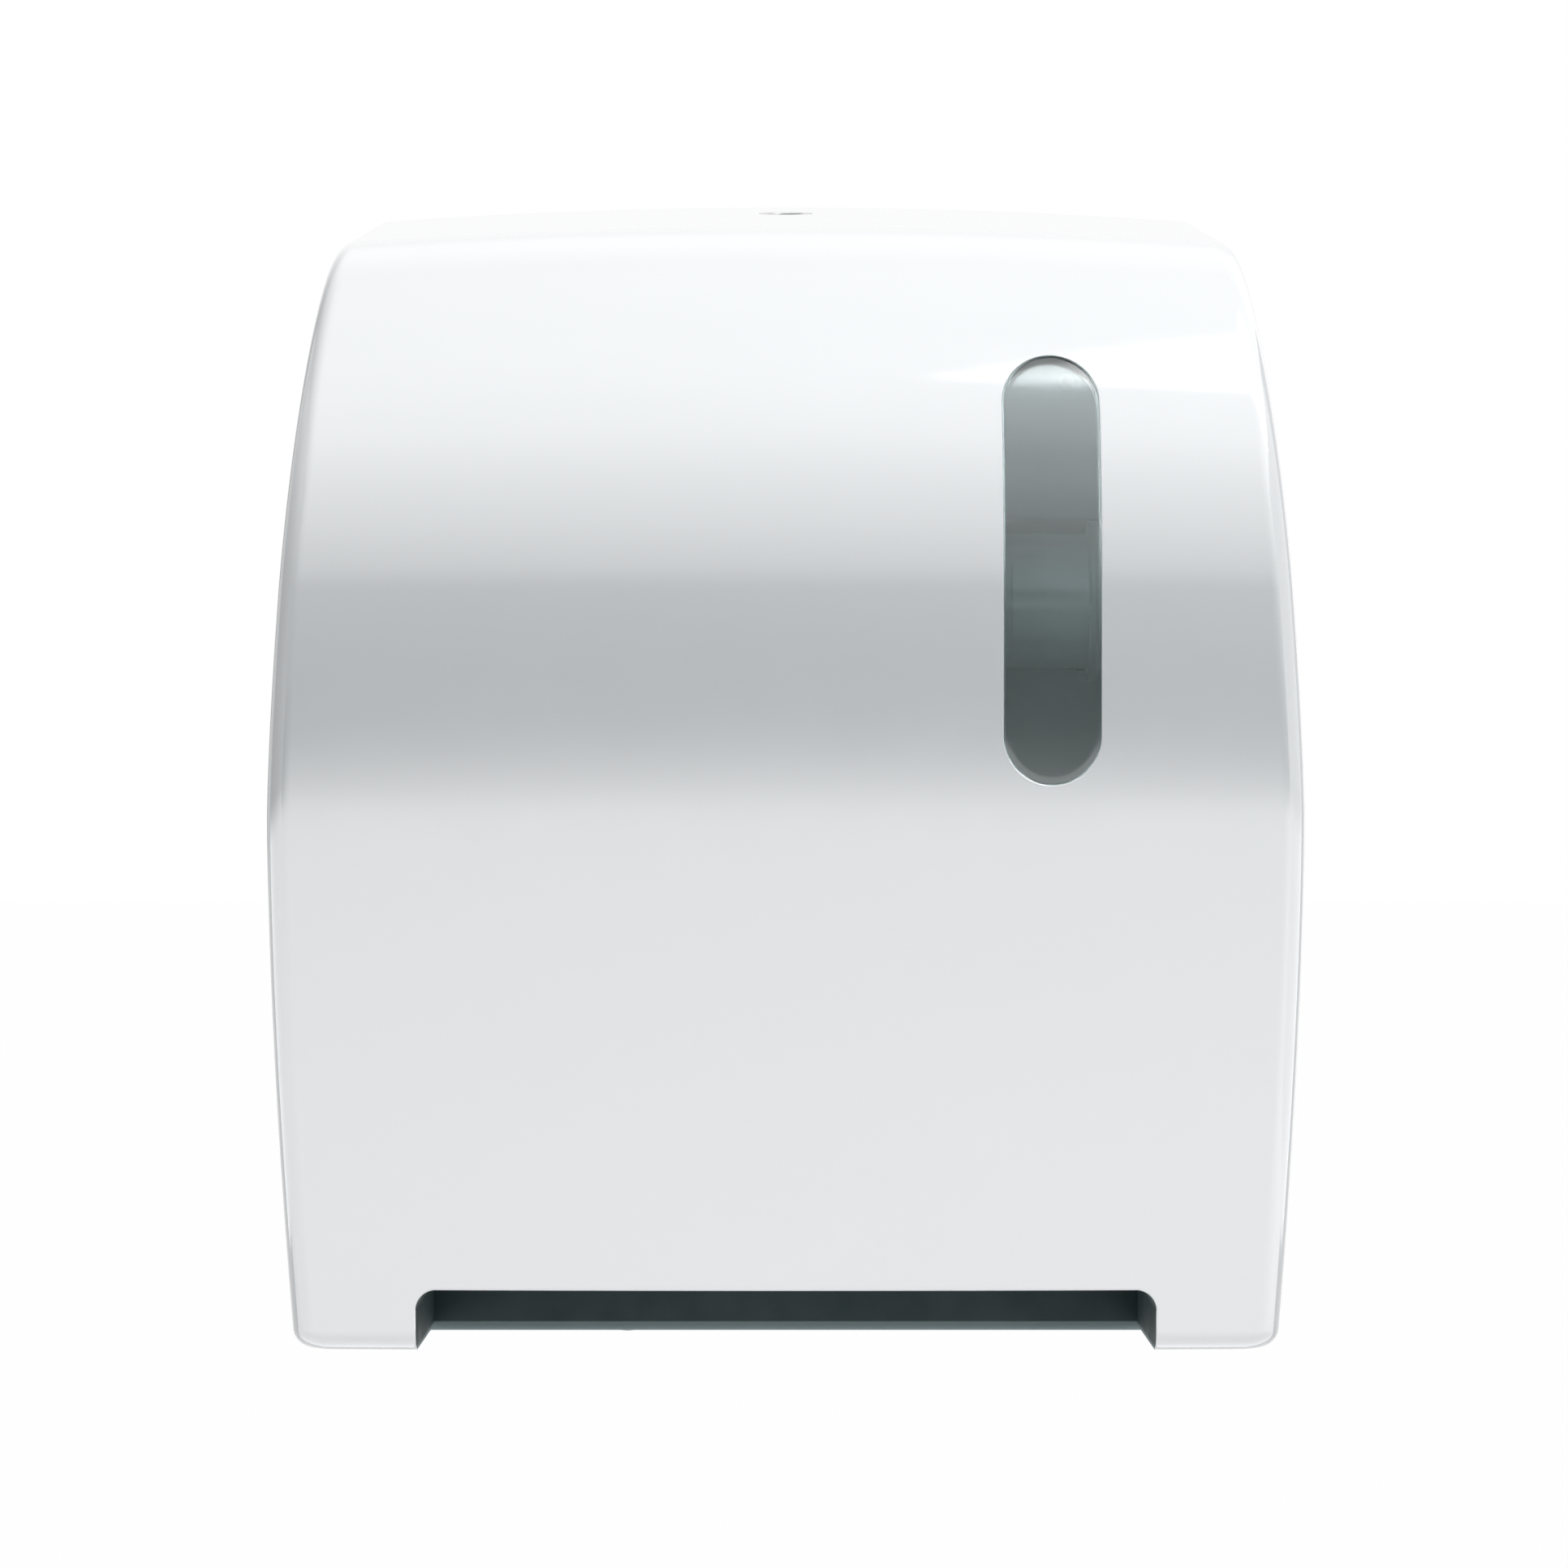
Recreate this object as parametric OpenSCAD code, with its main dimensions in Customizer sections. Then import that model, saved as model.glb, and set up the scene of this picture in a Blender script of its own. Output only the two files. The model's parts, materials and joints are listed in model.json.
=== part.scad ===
// Wall-hung paper towel dispenser with a hand sensor, in millimetres.
// X runs to the right as seen from the front, the front faces -Y and Z is up.
// The origin is the centre of the four wall screws, on the wall plane.
// Depths are measured from the wall towards the front, heights from the foot of the cover.

/* [Cover] */
// Greatest width of the cover
cover_w = 330; // [322:1:344]
// Height of the cover
cover_h = 386; // [380:1:400]
// Depth of the cover from the wall
cover_d = 225; // [215:1:245]
// Wall of the cover
cover_wall = 2.5; // [2:0.1:3]
// Radius of the edges between the front and the sides
edge_r = 8; // [5:0.5:12]
// Radius around the foot of the cover
foot_r = 6.5; // [4:0.5:9]
// How far the front bulges between its side edges
front_crown = 5.5; // [2:0.5:8]
// How far the front leans back at the foot
front_tuck = 9; // [0:1:14]
// How much each side draws in towards the top
top_taper = 17.4; // [12:0.2:20]
// How much each side draws in towards the foot
foot_taper = 8.3; // [4:0.1:10]
// Height of the widest place
wide_z = 170; // [150:5:190]
// Height where the front starts to curve back
shoulder_z = 242; // [232:1:252]
// Depth of the centre of the curved shoulder
shoulder_d = 112; // [104:1:120]
// Gap between the rear edge of the cover and the wall
wall_gap = 1.5; // [1:0.5:3]

/* [Level window] */
// Width of the window opening
window_w = 32.4; // [28:0.2:38]
// Distance of the window from the middle of the cover
window_x = 85; // [75:1:95]
// Lower end of the window opening
window_low = 181; // [160:1:195]
// Upper end of the window opening
window_high = 320.5; // [300:0.5:325]
// Thickness of the window behind the cover
window_t = 1.4; // [1:0.1:2]
// Width of the flange behind the cover
window_flange = 4; // [3:0.5:6]

/* [Paper slot] */
// Width of the slot in the cover
slot_w = 235; // [228:1:238]
// Height of the slot above the foot
slot_h = 19.6; // [16:0.2:22]
// Radius of the upper corners of the slot
slot_r = 6.5; // [4:0.5:8]
// Width of the open gap that the paper runs through
outlet_gap = 8.5; // [7:0.5:10]

/* [Wall panel] */
// Thickness of the wall panel
panel_t = 3; // [2.5:0.5:4]
// Height of the rim on the wall panel
rim_h = 8; // [6:1:10]
// Distance between the wall screws from left to right
screw_span_x = 200; // [180:5:205]
// Distance between the wall screws from top to bottom
screw_span_z = 150; // [140:5:160]
// Height of the middle of the wall screws above the foot
screw_z = 250; // [245:1:255]
// Diameter of the wall screw holes
screw_hole_d = 5.5; // [4.5:0.5:6.5]
// Diameter of the cover hinge pins
hinge_pin_d = 6; // [5:0.5:7]

/* [Roll holder] */
// Depth of the roll axis from the wall
roll_d = 112; // [108:1:116]
// Height of the roll axis above the foot
roll_z = 242; // [236:1:248]
// Distance of each roll arm from the middle
arm_x = 105; // [104:0.5:107]
// Thickness of a roll arm
arm_t = 4; // [3:0.5:5]
// Half the height of the bar of a roll arm
arm_half = 12; // [9:0.5:13]
// Diameter of the part of a hub that enters the core
hub_plug_d = 45; // [38:0.5:50]
// Diameter of the flange of a hub
hub_flange_d = 54; // [52:1:60]
// Length of the part of a hub that enters the core
hub_plug_l = 30; // [24:1:34]
// Thickness of the flange of a hub
hub_flange_t = 3.5; // [3:0.5:5]
// Diameter of a hub axle
hub_axle_d = 10; // [8:0.5:12]
// Diameter of the pin that a roll arm swings on
arm_pin_d = 4; // [3:0.5:5]
// Depth of the pin that a roll arm swings on
arm_pin_depth = 11; // [10.5:0.5:13]

/* [Paper drive] */
// Room between a side plate and the widest place of the cover, for the batteries and the gears
side_room = 54; // [53:0.5:55]
// Thickness of a side plate
plate_t = 4; // [3:0.5:4.5]
// Depth of the drive roller axis from the wall
drive_d = 78; // [76:1:82]
// Height of the drive roller axis above the foot
drive_z = 60; // [58:1:64]
// Diameter over the rubber grips of the drive roller
drive_roller_d = 40; // [38:0.5:42]
// Thickness of the rubber grips
grip_t = 1.5; // [1:0.1:2.5]
// Width of one rubber grip
grip_w = 34; // [28:1:40]
// Diameter of the drive shaft
drive_shaft_d = 8; // [6:0.5:9]
// Diameter of a pinch roller
pinch_roller_d = 22; // [20:0.5:24]
// Width of a pinch roller
pinch_roller_w = 30; // [24:1:34]
// Diameter of the pinch roller shaft
pinch_shaft_d = 6; // [5:0.5:7]
// Gap between the drive roller and the pinch rollers
nip_gap = 0.3; // [0.2:0.05:0.6]
// Wire of the pinch springs
spring_wire_d = 1; // [0.8:0.1:1.2]
// Outer diameter of the pinch springs
spring_d = 8; // [7:0.5:9]
// Number of curls of a pinch spring
spring_turns = 6; // [5:1:7]
// Gear module
gear_module = 1; // [0.9:0.05:1.05]
// Teeth of the motor pinion and the small idler gear
small_teeth = 12; // [12:1:13]
// Teeth of the drive gear and the large idler gear
large_teeth = 36; // [34:1:38]
// Width of a gear
gear_w = 6; // [5:0.5:7]
// Diameter of the motor
motor_d = 32; // [28:1:34]
// Length of the motor
motor_l = 58; // [45:1:70]

/* [Exit guard] */
// Depth of the exit guard from its rear face to its front face
guard_t = 13; // [12:0.5:15]
// Height of the exit guard
guard_h = 28; // [26:0.5:29]
// Wall of the exit guard
guard_wall = 2.5; // [2:0.1:3]
// How far the lip of the exit guard hangs below the foot of the cover
guard_drop = 2; // [0:0.5:4]
// Pitch of the teeth on the tear bar
tear_pitch = 4; // [3:0.5:6]
// Distance of the sensor lens from the middle
lens_x = 53; // [40:1:70]
// Diameter of the sensor lens
lens_d = 7; // [5:0.5:8]

/* [Batteries] */
// Diameter of a battery cell
cell_d = 33; // [30:0.5:34.2]
// Length of a battery cell
cell_l = 61.5; // [58:0.5:62]
// Wall of the battery box
box_wall = 2; // [1.6:0.2:2.4]
// Thickness of the battery door
door_t = 2.5; // [2:0.1:3]

/* [Controls] */
// Wall of the control housing
control_wall = 2.5; // [2:0.1:3]
// Diameter of the feed button
button_d = 14; // [10:0.5:16]
// Travel of the feed button
button_travel = 3; // [2:0.5:3]
// Travel of the mode switch to either side of its middle
switch_travel = 4; // [3:0.5:5]
// Diameter of the status light
led_d = 5; // [3:0.5:6]

/* [Lock] */
// Depth of the lock from the wall
lock_d = 45; // [42:1:50]
// Diameter of the lock housing
lock_housing_d = 18; // [16:0.5:20]
// Diameter of the lock barrel
lock_barrel_d = 12; // [10:0.5:13]
// Length of the lock cam from its axis
cam_l = 22; // [18:0.5:24]

/* [Fits] */
// Radial clearance of a turning fit
run_gap = 0.05; // [0.03:0.01:0.1]
// Clearance between faces that pass each other
flat_gap = 0.3; // [0.3:0.05:0.5]
// Clearance around the window and the lock in the cover
trim_gap = 0.25; // [0.2:0.05:0.4]

/* [Hidden] */
$fn = 48;

// Overlap that makes a cut or a join pass cleanly through a face
cut = 1;

// Shape of the cover: the sides draw in above and below the widest place
top_taper_power = 1.4;
foot_taper_power = 1.65;
shoulder_end = 82;
shoulder_a = cover_d - shoulder_d;
top_run = (shoulder_d + shoulder_a * cos(shoulder_end) - wall_gap) * cos(shoulder_end);
shoulder_b = (cover_h - shoulder_z) / (sin(shoulder_end) + top_run / (shoulder_a * sin(shoulder_end)));
top_slope = atan2(shoulder_b * cos(shoulder_end), shoulder_a * sin(shoulder_end));

function half_w(z) =
    z > wide_z
    ? cover_w / 2 - top_taper * pow((z - wide_z) / (cover_h - wide_z), top_taper_power)
    : cover_w / 2 - foot_taper * pow((wide_z - z) / wide_z, foot_taper_power);
function front_depth(z) = cover_d - front_tuck * pow(1 - z / shoulder_z, 2);
function top_height(d) = cover_h - (d - wall_gap) * tan(top_slope);

// Rows of the skin, from the foot up the front, over the shoulder and back to the wall.
// Each row is [depth, height, normal depth, normal height, drawn-in width, height at the wall].
foot_rows = 3;
front_rows = 8;
shoulder_rows = 10;
top_rows = 3;
bend_rows = shoulder_rows + top_rows;
strip_end = 8;

function foot_row(i, w) =
    let (a = 90 * (1 - i / foot_rows), r = foot_r - w, z = w + r * (1 - sin(a)))
    let (pull = w + r * (1 - cos(a)))
    [front_depth(z) - pull, z, 1, 0, half_w(z) - pull, z];
function front_row(i, w) =
    let (z = foot_r + (shoulder_z - foot_r) * i / front_rows)
    [front_depth(z) - w, z, 1, 0, half_w(z) - w, z];
function wall_height(s, w) =
    let (top = cover_h - front_crown - w - edge_r - strip_end)
    shoulder_z + (top - shoulder_z) * s;
function shoulder_row(i, w) =
    let (a = shoulder_end * i / shoulder_rows)
    let (across = [shoulder_b * cos(a), shoulder_a * sin(a)], n = across / norm(across))
    let (z = shoulder_z + shoulder_b * sin(a))
    [
        shoulder_d + shoulder_a * cos(a) - w * n[0], z - w * n[1], n[0], n[1],
        half_w(z) - w, wall_height(i / bend_rows, w)
    ];
function top_row(i, w, back) =
    let (start = shoulder_d + shoulder_a * cos(shoulder_end) - w * sin(top_slope))
    let (d = start + (back - start) * i / top_rows)
    let (z = top_height(d) - w / cos(top_slope))
    [
        d, z, i < top_rows ? sin(top_slope) : 0, i < top_rows ? cos(top_slope) : 1,
        half_w(min(z, cover_h)) - w, wall_height((shoulder_rows + i) / bend_rows, w)
    ];
function skin_rows(w, back) = [
    for (i = [0:foot_rows - 1]) foot_row(i, w),
    for (i = [0:front_rows - 1]) front_row(i, w),
    for (i = [0:shoulder_rows]) shoulder_row(i, w),
    for (i = [1:top_rows]) top_row(i, w, back)
];

// One point of a row: how far it lies across the width and how far in along the normal
function row_point(row, x, inset) =
    [x, -(row[0] - inset * row[2]), row[1] - inset * row[3]];
function crown_at(row, x) = front_crown * pow(x / row[4], 2);

// Columns of one half of a row, from the wall to the start of the front
edge_steps = 3;
strip_steps = 3;
front_steps = 10;
function half_row(row, w, back, side) =
    let (r = edge_r - w, flat = row[4] - r, drop = crown_at(row, flat))
    let (rim = row_point(row, side * row[4], drop + r))
    [
        for (k = [0:strip_steps - 1])
            let (s = k / strip_steps, z = row[5] + (rim[2] - row[5]) * s)
            [side * (half_w(z) + row[4] - half_w(rim[2])), -back + (rim[1] + back) * s, z],
        for (k = [0:edge_steps - 1])
            let (a = 90 * k / edge_steps)
            row_point(row, side * (flat + r * cos(a)), drop + r * (1 - sin(a)))
    ];
function full_row(row, w, back) =
    let (flat = row[4] - edge_r + w)
    let (right = half_row(row, w, back, 1), n = len(right))
    [
        each half_row(row, w, back, -1),
        for (k = [0:front_steps])
            let (x = flat * (2 * k / front_steps - 1))
            row_point(row, x, crown_at(row, x)),
        for (k = [n - 1:-1:0]) right[k]
    ];

// Two triangles that fill four corners
function quad(a, b, c, d) = [[a, b, c], [a, c, d]];

// Closed solid inside the skin, drawn in by w and cut off at depth back
module skin_solid(w, back) {
    rows = [for (row = skin_rows(w, back)) full_row(row, w, back)];
    n = len(rows);
    m = len(rows[0]);
    mid = (m - 1) / 2;
    last = (n - 1) * m;
    faces = [
        for (i = [0:n - 2], j = [0:m - 2])
            each quad(i * m + j, (i + 1) * m + j, (i + 1) * m + j + 1, i * m + j + 1),
        for (j = [0:mid - 2])
            each quad(j, j + 1, m - 2 - j, m - 1 - j),
        [mid - 1, mid, mid + 1],
        for (i = [0:n - 2])
            each quad(i * m + m - 1, (i + 1) * m + m - 1, (i + 1) * m, i * m),
        for (j = [0:mid - 2])
            each quad(last + m - 1 - j, last + m - 2 - j, last + j + 1, last + j),
        [last + mid + 1, last + mid, last + mid - 1]
    ];
    translate([0, 0, -screw_z]) polyhedron(points = [for (row = rows) each row], faces = faces);
}

// Paper path and the places that follow from it
path_d = drive_d + drive_roller_d / 2;
chute_t = 2.5;
chute_back = 3.5;
chute_d = path_d - chute_back;
guard_back = chute_d + outlet_gap;
guard_front = guard_back + guard_t;
guard_top = guard_h - guard_drop;
guard_side = 8;
slot_behind = 2;
slot_back = guard_front + slot_behind;

// Side plates
plate_out = cover_w / 2 - side_room;
plate_x = plate_out - plate_t;
plate_rise = 68;
plate_reach = 38;
base_z = 1;
base_t = 2.5;
plate_low = base_z + base_t;
plate_top = drive_z + plate_rise;
plate_front = path_d + plate_reach;
plate_step_gap = 2;
plate_step_z = guard_top + plate_step_gap;
plate_chamfer = 18;

// Wall panel
panel_gap = 4;
panel_side = 25;
panel_half = cover_w / 2 - panel_side;
panel_low = base_z;
panel_neck = 45;
panel_flare = 60;
panel_top_gap = 12;
panel_high = cover_h - panel_top_gap;
panel_r = 12;
panel_steps = 10;
panel_arc_steps = 6;
rim_t = 2.5;
rim_low = screw_z - screw_span_z / 2;

// Cover hinge
hinge_d = 15;
hinge_z = 14;
hinge_boss_r = 7;
hinge_boss_side = 21;
hinge_boss_x = cover_w / 2 - hinge_boss_side;
hinge_lug_t = 13;
hinge_side_gap = 1;
hinge_lug_x = hinge_boss_x - hinge_side_gap - hinge_lug_t;
hinge_pin_r = hinge_pin_d / 2;
hinge_pin_in = 8;
heel_r = hinge_d - wall_gap;
floor_cut_x = hinge_boss_x;

// Roll arm lugs on the panel
arm_pin_r = arm_pin_d / 2;
arm_lug_r = arm_pin_r + 3;
arm_lug_h = 7;
arm_lug_low = roll_z - arm_half - 2 - arm_lug_h;
arm_lug_high = roll_z + arm_half + 2;
arm_mid = arm_x + arm_t / 2;

// Outline of the wall panel, drawn in by g: narrow at the hinge, then along the inside of the cover
function panel_edge(z) = half_w(z) - cover_wall - panel_gap;
module panel_outline(g) {
    arc_z = panel_high - panel_r;
    right = [
        [panel_half - g, panel_low],
        [panel_half - g, panel_neck],
        for (i = [0:panel_steps])
            let (z = panel_flare + (arc_z - panel_flare) * i / panel_steps)
            [panel_edge(z) - g, z],
        for (i = [1:panel_arc_steps])
            let (a = 90 * i / panel_arc_steps)
            [panel_edge(arc_z) - panel_r + (panel_r - g) * cos(a), arc_z + (panel_r - g) * sin(a)]
    ];
    left = [for (i = [len(right) - 1:-1:0]) [-right[i][0], right[i][1]]];
    polygon(concat(right, left));
}

// Depth and height to the object's frame
module spot(x, d, z) {
    translate([x, -d, z - screw_z]) children();
}

// Box between two widths, two depths and two heights
module block(x0, x1, d0, d1, z0, z1) {
    spot(x0, d1, z0) cube([x1 - x0, d1 - d0, z1 - z0]);
}

// Rod along X about a depth and height
module rod(r, x0, x1, d, z) {
    spot(x0, d, z) rotate([0, 90, 0]) cylinder(r = r, h = x1 - x0);
}

// Rod along Z about a width and depth
module post(r, x, d, z0, z1) {
    spot(x, d, z0) cylinder(r = r, h = z1 - z0);
}

// Rod along the depth about a width and height
module peg(r, x, d0, d1, z) {
    spot(x, d0, z) rotate([90, 0, 0]) cylinder(r = r, h = d1 - d0);
}

// Slab along X whose outline is drawn in depth and height
module side_slab(x0, x1) {
    translate([x0, 0, -screw_z]) mirror([0, 1, 0]) rotate([90, 0, 90])
        linear_extrude(x1 - x0) children();
}

// Slab along the depth whose outline is drawn in width and height
module front_slab(d0, d1) {
    translate([0, -d0, -screw_z]) rotate([90, 0, 0]) linear_extrude(d1 - d0) children();
}

// The children on the right and mirrored on the left
module both_sides() {
    children();
    mirror([1, 0, 0]) children();
}

// Rectangle with round corners, by its lower left and upper right corner
module round_rect(x0, z0, x1, z1, r) {
    translate([x0 + r, z0]) square([x1 - x0 - 2 * r, z1 - z0]);
    translate([x0, z0 + r]) square([x1 - x0, z1 - z0 - 2 * r]);
    for (x = [x0 + r, x1 - r], z = [z0 + r, z1 - r])
        translate([x, z]) circle(r);
}

// Bar with one round end at each of two points
module link(a, b, ra, rb) {
    w = 2 * min(ra, rb);
    translate(a) circle(ra);
    translate(b) circle(rb);
    translate(a) rotate(atan2(b[1] - a[1], b[0] - a[0])) translate([0, -w / 2]) square([norm(b - a), w]);
}

// Upright shape with round ends, as wide as the window and grown by g
module stadium(g) {
    r = window_w / 2;
    for (z = [window_low + r, window_high - r])
        translate([window_x, z]) circle(r + g);
    translate([window_x - r - g, window_low + r])
        square([window_w + 2 * g, window_high - window_low - window_w]);
}

// Slot outline in the foot of the cover, grown by g, with round upper corners
module slot_outline(g) {
    half = slot_w / 2 + g;
    r = slot_r + g;
    translate([-half, -cut]) square([2 * half, slot_h + g - r + cut]);
    translate([r - half, -cut]) square([2 * (half - r), slot_h + g + cut]);
    for (x = [r - half, half - r])
        translate([x, slot_h + g - r]) circle(r);
}

// Frame of the lock, square to the sloping top of the cover
lock_z = top_height(lock_d);
module lock_frame() {
    spot(0, lock_d, lock_z) rotate([top_slope, 0, 0]) children();
}
lock_flange_r = lock_housing_d / 2 + 2;
lock_flange_t = 1.2;
lock_depth = 12;
lock_nut_t = 3;
cam_t = 3;
cam_w = 8;
cam_gap = 1;
cam_top = -lock_depth - cam_gap;
cam_low = cam_top - cam_t;

module front_cover() {
    color("white") difference() {
        union() {
            difference() {
                skin_solid(0, wall_gap);
                difference() {
                    skin_solid(cover_wall, -cut);
                    front_slab(slot_back, cover_d + cut) slot_outline(cover_wall);
                }
            }
            both_sides() rod(hinge_boss_r, hinge_boss_x, half_w(hinge_z) - cover_wall / 2, hinge_d, hinge_z);
        }
        front_slab(slot_back - cut, cover_d + cut) slot_outline(0);
        block(-floor_cut_x, floor_cut_x, 0, slot_back, -cut, cover_wall + cut);
        front_slab(shoulder_d, cover_d + cut) stadium(0);
        lock_frame() translate([0, 0, -lock_depth])
            cylinder(r = lock_housing_d / 2 + trim_gap, h = 2 * lock_depth);
        both_sides() rod(
            hinge_pin_r + run_gap, hinge_boss_x - cut, hinge_boss_x + hinge_pin_in + cut, hinge_d, hinge_z
        );
        difference() {
            block(-cover_w, cover_w, 0, hinge_d, -cut, hinge_z);
            rod(heel_r, -cover_w - cut, cover_w + cut, hinge_d, hinge_z);
        }
    }
}

// Strip of the front between two widths, from inset w0 to inset w1
patch_steps = 4;
module front_patch(x0, x1, w0, w1) {
    first = foot_rows + 4;
    last = foot_rows + front_rows + 6;
    function sheet(w) = [
        for (i = [first:last], k = [0:patch_steps])
            let (row = skin_rows(w, wall_gap)[i], x = x0 + (x1 - x0) * k / patch_steps)
            row_point(row, x, crown_at(row, x))
    ];
    m = patch_steps + 1;
    n = last - first + 1;
    points = concat(sheet(w0), sheet(w1));
    faces = [
        for (i = [0:n - 2], j = [0:m - 2])
            each quad(i * m + j, (i + 1) * m + j, (i + 1) * m + j + 1, i * m + j + 1),
        for (i = [0:n - 2], j = [0:m - 2])
            let (a = (n + i) * m + j)
            each quad(a + m, a, a + 1, a + m + 1),
        for (j = [0:m - 2])
            each quad(n * m + j, j, j + 1, n * m + j + 1),
        for (j = [0:m - 2])
            let (a = (n - 1) * m + j, b = (2 * n - 1) * m + j)
            each quad(a, b, b + 1, a + 1),
        for (i = [0:n - 2])
            each quad(n * m + i * m, n * m + (i + 1) * m, (i + 1) * m, i * m),
        for (i = [0:n - 2])
            let (a = i * m + m - 1, b = a + n * m)
            each quad(a, a + m, b + m, b)
    ];
    translate([0, 0, -screw_z]) polyhedron(points = points, faces = faces);
}

// Smoke-grey pane with a flange that seats behind the cover
pane_inset = 0.6;
flange_seat = cover_wall + 0.15;
module level_window() {
    x0 = window_x - window_w / 2 - window_flange - cut;
    x1 = window_x + window_w / 2 + window_flange + cut;
    color([0.35, 0.38, 0.39]) union() {
        intersection() {
            front_patch(x0, x1, pane_inset, flange_seat + window_t);
            front_slab(shoulder_d, cover_d + cut) stadium(-trim_gap);
        }
        intersection() {
            front_patch(x0, x1, flange_seat, flange_seat + window_t);
            front_slab(shoulder_d, cover_d + cut) stadium(window_flange);
        }
    }
}

module lock_housing() {
    color("silver") lock_frame() difference() {
        union() {
            translate([0, 0, -lock_depth]) cylinder(r = lock_housing_d / 2, h = lock_depth + flat_gap + cut);
            translate([0, 0, flat_gap]) cylinder(r = lock_flange_r, h = lock_flange_t);
            translate([0, 0, -cover_wall - flat_gap - lock_nut_t])
                cylinder(r = lock_flange_r, h = lock_nut_t, $fn = 6);
        }
        translate([0, 0, -lock_depth - cut]) cylinder(r = lock_barrel_d / 2 + run_gap, h = 2 * lock_depth);
    }
}

key_slot_w = 2;
key_slot_l = 8;
key_slot_depth = 5;
module lock_barrel() {
    top = lock_flange_t + 2 * flat_gap;
    color("gray") lock_frame() difference() {
        translate([0, 0, cam_top]) cylinder(r = lock_barrel_d / 2, h = top - cam_top);
        translate([-key_slot_w / 2, -key_slot_l / 2, top - key_slot_depth])
            cube([key_slot_w, key_slot_l, key_slot_depth + cut]);
    }
}

// Flat cam under the barrel, pointing to the wall while the lock is open
module lock_cam() {
    color("darkgray") lock_frame() translate([0, 0, cam_low]) linear_extrude(cam_t) {
        circle(cam_w / 2 + 1);
        translate([-cam_w / 2, 0]) square([cam_w, cam_l]);
    }
}

// Hook on the panel: its lip stands in front of the cam while the lock is shut
strike_gap = 1;
strike_x0 = lock_flange_r + 2;
strike_x1 = cam_l + 4;
strike_t = 2.5;
strike_lip = -cam_w / 2 - 1.5;
strike_foot_h = 14;
strike_foot_z = top_height(panel_t) + cam_low - strike_foot_h;
function lock_spot(y, z) =
    [lock_d - y * cos(top_slope) + z * sin(top_slope), lock_z + y * sin(top_slope) + z * cos(top_slope)];
function lock_reach(d, z) = (lock_d - d + z * sin(top_slope)) / cos(top_slope);
module lock_strike() {
    under = cam_low - strike_gap - strike_t;
    over = under + strike_t;
    front = strike_lip - strike_t;
    color("lightgray") side_slab(strike_x0, strike_x1) polygon([
        [panel_t, strike_foot_z], [panel_t + strike_t, strike_foot_z],
        lock_spot(lock_reach(panel_t + strike_t, under), under), lock_spot(front, under),
        lock_spot(front, cam_top + strike_gap), lock_spot(strike_lip, cam_top + strike_gap),
        lock_spot(strike_lip, over), lock_spot(lock_reach(panel_t, over), over)
    ]);
}

// Clearance around a pin that stays fixed in its hole
seat_gap = 0.02;

module back_panel() {
    color([0.8, 0.81, 0.82]) difference() {
        union() {
            front_slab(0, panel_t) panel_outline(0);
            front_slab(panel_t - cut, panel_t + rim_h) difference() {
                panel_outline(0);
                panel_outline(rim_t);
                translate([-cover_w, panel_low - cut]) square([2 * cover_w, rim_low - panel_low + cut]);
            }
            both_sides() {
                rod(hinge_boss_r, hinge_lug_x, hinge_lug_x + hinge_lug_t, hinge_d, hinge_z);
                block(
                    hinge_lug_x, hinge_lug_x + hinge_lug_t, cut, hinge_d,
                    hinge_z - hinge_boss_r, hinge_z + hinge_boss_r
                );
                for (z = [arm_lug_low, arm_lug_high]) {
                    post(arm_lug_r, arm_mid, arm_pin_depth, z, z + arm_lug_h);
                    block(arm_mid - arm_lug_r, arm_mid + arm_lug_r, cut, arm_pin_depth, z, z + arm_lug_h);
                }
            }
        }
        for (x = [-1, 1], z = [-1, 1])
            peg(
                screw_hole_d / 2, x * screw_span_x / 2, -cut, panel_t + cut, screw_z + z * screw_span_z / 2
            );
        both_sides() {
            rod(
                hinge_pin_r + seat_gap, hinge_lug_x - cut, hinge_lug_x + hinge_lug_t + cut, hinge_d, hinge_z
            );
            post(
                arm_pin_r + seat_gap, arm_mid, arm_pin_depth,
                arm_lug_low - cut, arm_lug_high + arm_lug_h + cut
            );
        }
    }
}

module hinge_pins() {
    color("silver") both_sides()
        rod(hinge_pin_r, hinge_lug_x, hinge_boss_x + hinge_pin_in, hinge_d, hinge_z);
}

module arm_pins() {
    color("silver") both_sides()
        post(arm_pin_r, arm_mid, arm_pin_depth, arm_lug_low, arm_lug_high + arm_lug_h);
}

// Places of the rollers and the gears in depth and height
drive_r = drive_roller_d / 2;
shaft_r = drive_shaft_d / 2;
bush_r = shaft_r + 3;
bush_flange_r = bush_r + 2;
bush_flange_t = 1.5;
pinch_r = pinch_roller_d / 2;
pinch_d = path_d + nip_gap + pinch_r;
pinch_shaft_r = pinch_shaft_d / 2;
pivot_r = 2.5;
pivot_reach = 30;
pivot_rise = 36;
pivot_d = path_d + pivot_reach;
pivot_z = drive_z + pivot_rise;
gear_cd = gear_module * (small_teeth + large_teeth) / 2;
idler_angle = 173;
motor_angle = 213;
drive_at = [drive_d, drive_z];
idler_at = drive_at + gear_cd * [cos(idler_angle), sin(idler_angle)];
motor_at = idler_at + gear_cd * [cos(motor_angle), sin(motor_angle)];
gear_side_gap = 2.5;
gear_x0 = plate_out + gear_side_gap;
gear_x1 = gear_x0 + gear_w;
gear_step = 1;
gear_x2 = gear_x1 + gear_step;
gear_x3 = gear_x2 + gear_w;
gear_plate_x = gear_x3 + gear_side_gap;
gear_plate_t = 2.5;
gear_plate_hub_r = 7;
gear_plate_arm_r = 6;
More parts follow.
